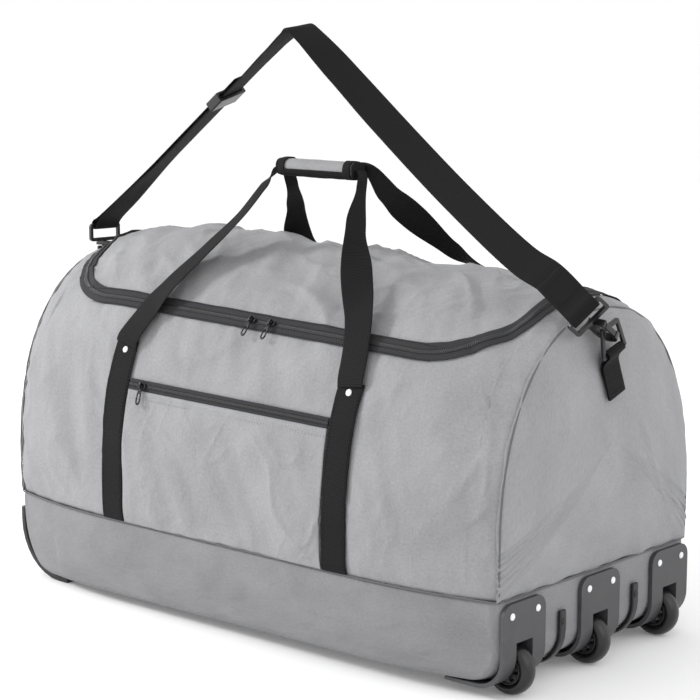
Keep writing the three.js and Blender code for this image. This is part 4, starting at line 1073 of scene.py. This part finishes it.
# a point just outside the pad, at an angle round its middle line, in millimetres
def gripSkin(x, angle, off):
    outward = Vector((0, math.cos(angle), math.sin(angle)))
    middle = Vector((x, grip["y"], grip["z"])) * mm
    hit = gripTree.ray_cast(middle + outward * 0.03, -outward)[0]
    reach = (hit - middle).length if hit else 0.012
    return (middle + outward * (reach + off * mm)) / mm


binding = {"end": 12, "low": math.radians(-172), "high": math.radians(-14), "thickness": 1.2}
gripPiece = finishPiece("gripWrap", gripSoft, greyCanvas, "front_handle", ["grip_wrap"],
                        subdivide=1)


def underSpot(u, v):
    return gripSkin(mix(-61, 61, u), mix(binding["low"], binding["high"], v), 0.5)


under = gridMesh(60, 24, underSpot, None, (0.122, 0.03))
finishPiece("gripUnderside", faceAway(under, (0, grip["y"], grip["z"])), blackWebbing, "front_handle", [],
            binding["thickness"] * mm, 1)
for side, tag in ((-1, "Left"), (1, "Right")):
    inner = 63.5 - binding["end"]
    cuff = gridMesh(10, 48, lambda u, v: gripSkin(side * mix(inner, 63.5, u), math.tau * v, 1.4), None,
                    (0.012, 0.09), 1e-6)
    finishPiece("gripBinding" + tag, faceAway(cuff, (0, grip["y"], grip["z"])), blackWebbing,
                "front_handle", [],
                binding["thickness"] * mm, 0)
    cap = plateMesh(roundedRing(-47, -21, 579, 601, 9, 6), [], side * 66.2 - 1.2, side * 66.2 + 1.2,
                    acrossX, 0.8, 2)
    layer = cap.loops.layers.uv.new("cloth")
    for face in cap.faces:
        for loop in face.loops:
            loop[layer].uv = (loop.vert.co.y, loop.vert.co.z)
    evenShading(finishPiece("gripEnd" + tag, cap, blackWebbing, "front_handle", []))
print("grip ready")

# shoulder strap and its fittings
fitting = {
    "ringX": 452, "ringY": -8, "jawZ": 415.6, "tabFootZ": 342, "tabShift": 10, "tabLean": math.radians(18),
    "hookLean": math.radians(58), "frameTurn": math.radians(32), "leftTurn": math.radians(6.8), "eyeZ": 398,
    "barZ": 417 + 34 + 9.6 + 23.5, "fold": 62, "doubled": 400,
}
jawReach = fitting["jawZ"] - fitting["tabFootZ"]
jawY = fitting["ringY"] + fitting["tabShift"] - jawReach * math.sin(fitting["tabLean"])
jawZ = fitting["tabFootZ"] + jawReach * math.cos(fitting["tabLean"])
leanHook = (Matrix.Translation((0, jawY, jawZ)) @ Matrix.Rotation(fitting["hookLean"], 4, "X")
            @ Matrix.Translation((0, -fitting["ringY"], -fitting["jawZ"])))
leanTab = (Matrix.Translation((0, fitting["ringY"] + fitting["tabShift"], fitting["tabFootZ"]))
           @ Matrix.Rotation(fitting["tabLean"], 4, "X")
           @ Matrix.Translation((0, -fitting["ringY"], -fitting["tabFootZ"])))
leanFrame = (leanHook @ Matrix.Translation((fitting["ringX"], fitting["ringY"], 0))
             @ Matrix.Rotation(-fitting["frameTurn"], 4, "Z")
             @ Matrix.Translation((-fitting["ringX"], -fitting["ringY"], 0)))
mirrorX = Matrix.Diagonal((-1, 1, 1, 1))
leftBar = Vector((-fitting["ringX"], fitting["ringY"], fitting["barZ"]))
rightBar = leanFrame @ Vector((fitting["ringX"], fitting["ringY"], fitting["barZ"]))
besideBar = leanFrame @ Vector((fitting["ringX"], fitting["ringY"] + 1, fitting["barZ"]))
rightWide = (besideBar - rightBar).normalized()
leftWide = Vector((math.sin(fitting["leftTurn"]), math.cos(fitting["leftTurn"]), 0))


def squareTo(direction, wide):
    return (direction - wide * direction.dot(wide)).normalized()


leftDir = squareTo(Vector((0.82831, -0.09865, 0.55152)), leftWide)
leftTwist = squareTo(Vector((-0.1, 0.97, 0.2)), leftDir)
rightDir = squareTo(Vector((-0.819, 0.033, 0.572)), rightWide)


def upFrom(direction, wide):
    up = direction.cross(wide).normalized()
    return -up if up.z < 0 else up


def foldStations(at, direction, wide, tail, twist):
    up, farUp = upFrom(direction, wide), upFrom(direction, twist)
    over = [(at + direction * a + farUp * 4.2, twist, 40) for a in (tail, tail * 0.5)]
    over.append((at + direction * 16 + up * 4.2, wide, 40))
    turned = [(at + direction * a + up * b, wide, 40) for a, b in ((3, 6), (-6.4, 1), (1, -6), (14, -1.4))]
    return over, turned, up


leftOver, leftRound = foldStations(leftBar, leftDir, leftWide, fitting["doubled"], leftTwist)[:2]
rightOver, rightRound, rightUp = foldStations(rightBar, rightDir, rightWide, fitting["fold"], rightWide)
strapStations = leftOver + leftRound
strapStations += [(leftBar + leftDir * 60, leftWide, 40)]
strapStations += [(leftBar + leftDir * a, leftTwist, 40) for a in (200, 400)]
strapStations += [(leftBar + leftDir * 470, (0.02, 0.96, 0.2), 40)]
strapStations += [
    (Vector((-28, -58, 765)), (0.15, 0.95, 0.15), 40), (Vector((-14, -60, 773)), (0.25, 0.93, 0.15), 40),
    (Vector((1, -61, 765)), (0.3, 0.9, 0.25), 40), (Vector((64, -62, 716)), (0.45, 0.75, 0.45), 40),
    (Vector((137, -64, 658)), (0.5, 0.6, 0.6), 40), (Vector((261, -69, 566)), rightWide, 40),
    (Vector((364, -75, 500)), rightWide, 40), (rightBar + rightDir * 62, rightWide, 40),
]
strapStations += rightRound[::-1] + rightOver[::-1]
strapFrames = ribbonFrames(strapStations, 10)
finishPiece("shoulderStrap", ribbonMesh(strapFrames, webbing["thickness"]), blackWebbing, "shoulder_strap",
            ["shoulder_strap"])
for edge in (-15, 15):
    line = [rightBar + rightDir * mix(24, 54, k / 30) + rightWide * edge + rightUp * 5.4 for k in range(31)]
    stitchRow("strapBox" + ("A" if edge < 0 else "B"), line, seamThread, "shoulder_strap", 3.0,
              1.2, 0.45)
for where in (24, 54):
    line = [rightBar + rightDir * where + rightWide * mix(-15, 15, k / 30) + rightUp * 5.4
            for k in range(31)]
    stitchRow(f"strapBar{where}", line, seamThread, "shoulder_strap", 3.0, 1.2, 0.45)


# the CAD shape with its hard edges rounded over
def refined(node, name, material, body, width, segments=2, least=0.5):
    bm = bmesh.new()
    bm.from_mesh(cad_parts[node].data)
    bmesh.ops.remove_doubles(bm, verts=bm.verts, dist=1e-6)
    bmesh.ops.dissolve_limit(bm, angle_limit=math.radians(1.5), verts=bm.verts, edges=bm.edges)
    bevelSharp(bm, width * mm, segments, least)
    for layer in list(bm.loops.layers.uv.values()):
        bm.loops.layers.uv.remove(layer)
    return evenShading(finishPiece(name, bm, material, body, [node]))


for tag in ("left", "right"):
    side = tag.capitalize()
    refined("d_ring_" + tag, "ringPlate" + side, blackPlastic, "bag", 1.0)
    refined("snap_hook_" + tag, "snapHook" + side, blackPlastic, "hook_" + tag, 1.1)
    refined("hook_gate_" + tag, "hookGate" + side, blackPlastic, "gate_" + tag, 0.9)
    refined("swivel_frame_" + tag, "swivelFrame" + side, blackPlastic, "shoulder_strap",
            1.0)
refined("tri_glide", "strapAdjuster", blackPlastic, "tri_glide", 1.2)


def domeX(y, z):  # outer face of the smooth end panel, in millimetres
    best = 0
    for share in (k / 240 for k in range(240)):
        oy, oz = dOutline(1, share)
        angle = abs(math.atan2(oz - bag["domeZ"], oy) - math.atan2(z - bag["domeZ"], y))
        if angle < 0.05:
            best = max(best, math.hypot(oy, oz - bag["domeZ"]))
    r = min(1, math.hypot(y, z - bag["domeZ"]) / best) if best else 0
    return bag["halfLength"] + 0.4 + bag["skin"] + bag["bulge"] * (1 - r * r)


tabLine = [(domeX(0, z) + 1.9, z) for z in (339, 352, 366, 380)]
for degrees in (200, 155, 110, 65, 20, -25, -70):  # once round the ring's bar
    a = math.radians(degrees)
    tabLine.append((fitting["ringX"] + 5.1 * math.cos(a), fitting["eyeZ"] + 5.1 * math.sin(a)))
tabLine += [(domeX(0, z) + extra, z) for z, extra in ((383, 6.6), (370, 4.6), (354, 4.1), (339, 3.7))]
for tag, matrix in (("Left", mirrorX), ("Right", leanTab)):
    wide = matrix.to_3x3() @ Vector((0, 1, 0))
    stations = [(matrix @ Vector((x, fitting["ringY"], z)), wide, 34) for x, z in tabLine]
    finishPiece("ringTab" + tag, ribbonMesh(ribbonFrames(stations, 6), 1.8), blackWebbing, "bag",
                ["ring_tab_" + tag.lower()])
    for level in (345, 372):
        line = [matrix @ Vector((domeX(0, level) + 5.4, fitting["ringY"] + mix(-13, 13, k / 20), level))
                for k in range(21)]
        stitchRow(f"tabStitch{tag}{level}", line, seamThread, "bag", 3.0, 1.2, 0.45)
print("shoulder strap and fittings ready")

# zip sliders and their pulls
puller = {"neck": 2.3, "wide": 4.0, "length": 26, "top": 1.8, "thick": 1.4}


def sliderFrame(x, s, lift):
    normal = skinNormal(x, s)
    along = (skinRaw(x + 1, s) - skinRaw(x - 1, s)).normalized()
    return frameOf(skin(x, s, lift), along, normal.cross(along).normalized(), normal)


def pullOutline():
    half = []
    for k in range(13):
        t = k / 12
        y = mix(puller["top"], -puller["length"] + 5, t)
        half.append((mix(puller["neck"] + 0.9, puller["wide"], t ** 1.6) - 0.9 * near(t - 0.28, 0.16), y))
    tip = []
    for degrees in range(15, 90, 15):
        a = math.radians(-degrees)
        tip.append((puller["wide"] * math.cos(a), -puller["length"] + 5 + 5 * math.sin(a)))
    right = half + tip
    return right + [(0, -puller["length"])] + [(-x, y) for x, y in reversed(right)]


for tag, x, s, lift in (("main_a", 4, zipS, 3.2), ("main_b", 38, zipS, 3.2),
                        ("pocket", -150, pocketZipS, 2.9)):
    place = sliderFrame(x, s, lift)
    name = "".join(part.capitalize() for part in tag.split("_"))
    nose = [(-7, -3), (-4.6, -4.6), (4.6, -3.6), (7, -2.4), (7, 2.4), (4.6, 3.6), (-4.6, 4.6), (-7, 3)]
    body = plateMesh(nose, [], 0, 3.2, place, 0.9, 3)
    arch = roundedRing(-4, 4, 0, 4, 1.4, 4)
    window = roundedRing(-2.4, 2.4, 0.5, 2.7, 0.8, 3)
    addMesh(body, plateMesh(arch, [window], -1.4, 1.4,
                            place @ frameOf((0, 0, 3), (0, 1, 0), (0, 0, 1), (1, 0, 0)), 0.5, 2))
    evenShading(finishPiece("slider" + name, body, gunmetal, "slider_" + tag, ["zip_slider_" + tag]))
    pull = plateMesh(pullOutline(), [roundedRing(-1.7, 1.7, -5.2, 0.5, 0.6, 3),
                                     roundedRing(-2.1, 2.1, -22.5, -11, 2.0, 6)],
                     3.8, 3.8 + puller["thick"], place, 0.4, 2)
    evenShading(finishPiece("pull" + name, pull, gunmetal, "pull_" + tag, ["zip_pull_" + tag]))

# rivets: domed heads with a rolled rim
rivetLook = [(0, -1.6), (2.0, -1.6), (2.0, 0), (4.2, 0), (4.45, 0.25), (4.4, 0.7), (3.9, 1.25),
             (3.1, 1.65), (2.0, 1.95), (1.0, 2.1), (0, 2.15)]
for face, direction in (("front", 1), ("rear", -1)):
    for hand, sx in (("left", -1), ("right", 1)):
        out = skinNormal(sx * 198, direction * rivetS)
        seat = cloth(sx * 198, direction * rivetS, 3.5)
        place = Matrix.Translation(seat) @ out.to_track_quat("Z", "X").to_matrix().to_4x4()
        finishPiece(f"strapRivet_{face}_{hand}", turnedMesh(rivetLook, place, 24), whiteEnamel, "bag",
                    [f"strap_rivet_{face}_{hand}"])

# wheels, their housings and the skids
wheel = {"x": 411, "z": 31.5, "radius": 31.5, "half": 12.5, "bore": 19, "hub": 18.6, "plateX": 430.6}
tyreLook = [(wheel["bore"], -8.5), (wheel["bore"] + 1.5, -10.6)]
for degrees in range(-84, 85, 12):
    a = math.radians(degrees)
    tyreLook.append((wheel["radius"] - 9 + 9 * math.cos(a) ** 0.8, wheel["half"] * math.sin(a)))
tyreLook += [(wheel["bore"] + 1.5, 10.6), (wheel["bore"], 8.5), (wheel["bore"], -8.5)]
hubHoles = [[(11.4 * math.cos(k * math.pi / 3) + 3.6 * math.cos(a),
              11.4 * math.sin(k * math.pi / 3) + 3.6 * math.sin(a))
             for a in (j * math.tau / 16 for j in range(16))] for k in range(6)]
hubRing = [(wheel["hub"] * math.cos(j * math.tau / 48),
            wheel["hub"] * math.sin(j * math.tau / 48)) for j in range(48)]
hubBore = [(3.4 * math.cos(j * math.tau / 20), 3.4 * math.sin(j * math.tau / 20)) for j in range(20)]
for tag, y in (("front", -155), ("middle", 0), ("rear", 155)):
    side = tag.capitalize()
    centre = Matrix.Translation((wheel["x"], y, wheel["z"])) @ acrossY
    finishPiece("tyre" + side, turnedMesh(tyreLook, centre, 64), tyreRubber, "wheel_" + tag,
                ["tyre_" + tag])
    hub = plateMesh(hubRing, [hubBore] + hubHoles, -7.5, 7.5, centre, 0.6, 2)
    addMesh(hub, turnedMesh([(3.4, -9), (6.4, -9), (6.9, -8.4), (6.9, 8.4), (6.4, 9), (3.4, 9), (3.4, -9)],
                            centre, 32))
    addMesh(hub, turnedMesh([(16.2, 7.4), (16.2, 9), (18.5, 9), (18.5, 7.4)], centre, 48))
    addMesh(hub, turnedMesh([(18.5, -7.4), (18.5, -9), (16.2, -9), (16.2, -7.4)], centre, 48))
    evenShading(finishPiece("hub" + side, hub, hubPlastic, "wheel_" + tag, ["wheel_hub_" + tag]))
    refined("wheel_housing_" + tag, "wheelHousing" + side, housingPlastic, "bag", 1.3, 3)
    for hand, d in (("a", -25), ("b", 25)):
        seat = Matrix.Translation((wheel["plateX"], y + d, 103)) @ acrossX
        finishPiece(f"housingRivet_{tag}_{hand}", turnedMesh(rivetLook, seat, 24), whiteEnamel, "bag",
                    [f"housing_rivet_{tag}_{hand}"])
    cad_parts["axle_" + tag].data.materials.clear()
    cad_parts["axle_" + tag].data.materials.append(turnedSteel)
for tag, y in (("front", -77.5), ("rear", 77.5)):
    refined("skid_rib_" + tag, "skidRib" + tag.capitalize(), blackPlastic, "bag", 2.0, 3)
    studLook = [(0, -1), (4.4, -1), (4.4, 0.6), (3.6, 1.4), (2.2, 1.8), (0, 1.9)]
    stud = turnedMesh(studLook, Matrix.Translation((wheel["plateX"] - 0.2, y, 74)) @ acrossX, 24)
    finishPiece("skidStud" + tag.capitalize(), stud, blackPlastic, "bag", [])
for tag in ("front", "rear"):
    refined("corner_skid_" + tag, "cornerSkid" + tag.capitalize(), blackPlastic, "bag",
            1.8, 3)
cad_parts["base_board"].data.materials.clear()
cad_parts["base_board"].data.materials.append(pressedBoard)
print("hard parts ready")

# floor, light and camera
studio = {"world": 1.0, "key": 84.0, "fill": 15.0, "glow": 0.1}
floorMesh = bmesh.new()
bmesh.ops.create_grid(floorMesh, x_segments=1, y_segments=1, size=60.0)
floorMaterial, floorTree, floorShader = startMaterial("paleFloor", Roughness=0.9, Specular_IOR_Level=0.1,
                                                      Emission_Strength=studio["glow"],
                                                      Emission_Color=toLinear("ffffff"))
place = addNode(floorTree, "ShaderNodeTexCoord").outputs["Object"]
floorTree.links.new(tintBetween(floorTree, speckle(floorTree, place, 900.0), "f2f2f2", "f8f8f8"),
                    floorShader.inputs["Base Color"])
floor = bpy.data.objects.new("floor", bpy.data.meshes.new("floor"))
floorMesh.to_mesh(floor.data)
floorMesh.free()
floor.data.materials.append(floorMaterial)
bpy.context.scene.collection.objects.link(floor)

world = bpy.data.worlds.new("studio")
world.use_nodes = True
bpy.context.scene.world = world
world.node_tree.nodes["Background"].inputs["Color"].default_value = toLinear("ffffff")
world.node_tree.nodes["Background"].inputs["Strength"].default_value = studio["world"]


def softBox(name, place, target, size, power):
    light = bpy.data.lights.new(name, "AREA")
    light.shape, light.size, light.energy = "SQUARE", size, power
    lamp = bpy.data.objects.new(name, light)
    lamp.location = place
    lamp.rotation_euler = (Vector(target) - Vector(place)).to_track_quat("-Z", "Y").to_euler()
    bpy.context.scene.collection.objects.link(lamp)


softBox("keyLight", (-2.6, -1.9, 1.9), (0, 0, 0.3), 0.9, studio["key"])
softBox("fillLight", (2.6, 0.6, 1.6), (0.2, 0, 0.3), 2.0, studio["fill"])

lens = bpy.data.cameras.new("studioCamera")
lens.lens, lens.sensor_width = 102.86, 36
camera = bpy.data.objects.new("studioCamera", lens)
camera.location = (1.760, -1.970, 0.782)
camera.rotation_euler = (math.radians(90 - 9.388), 0, math.radians(41.41))
bpy.context.scene.collection.objects.link(camera)
bpy.context.scene.camera = camera
bpy.context.scene.view_settings.view_transform = "Standard"
print("stage ready")

low, high = cadBox
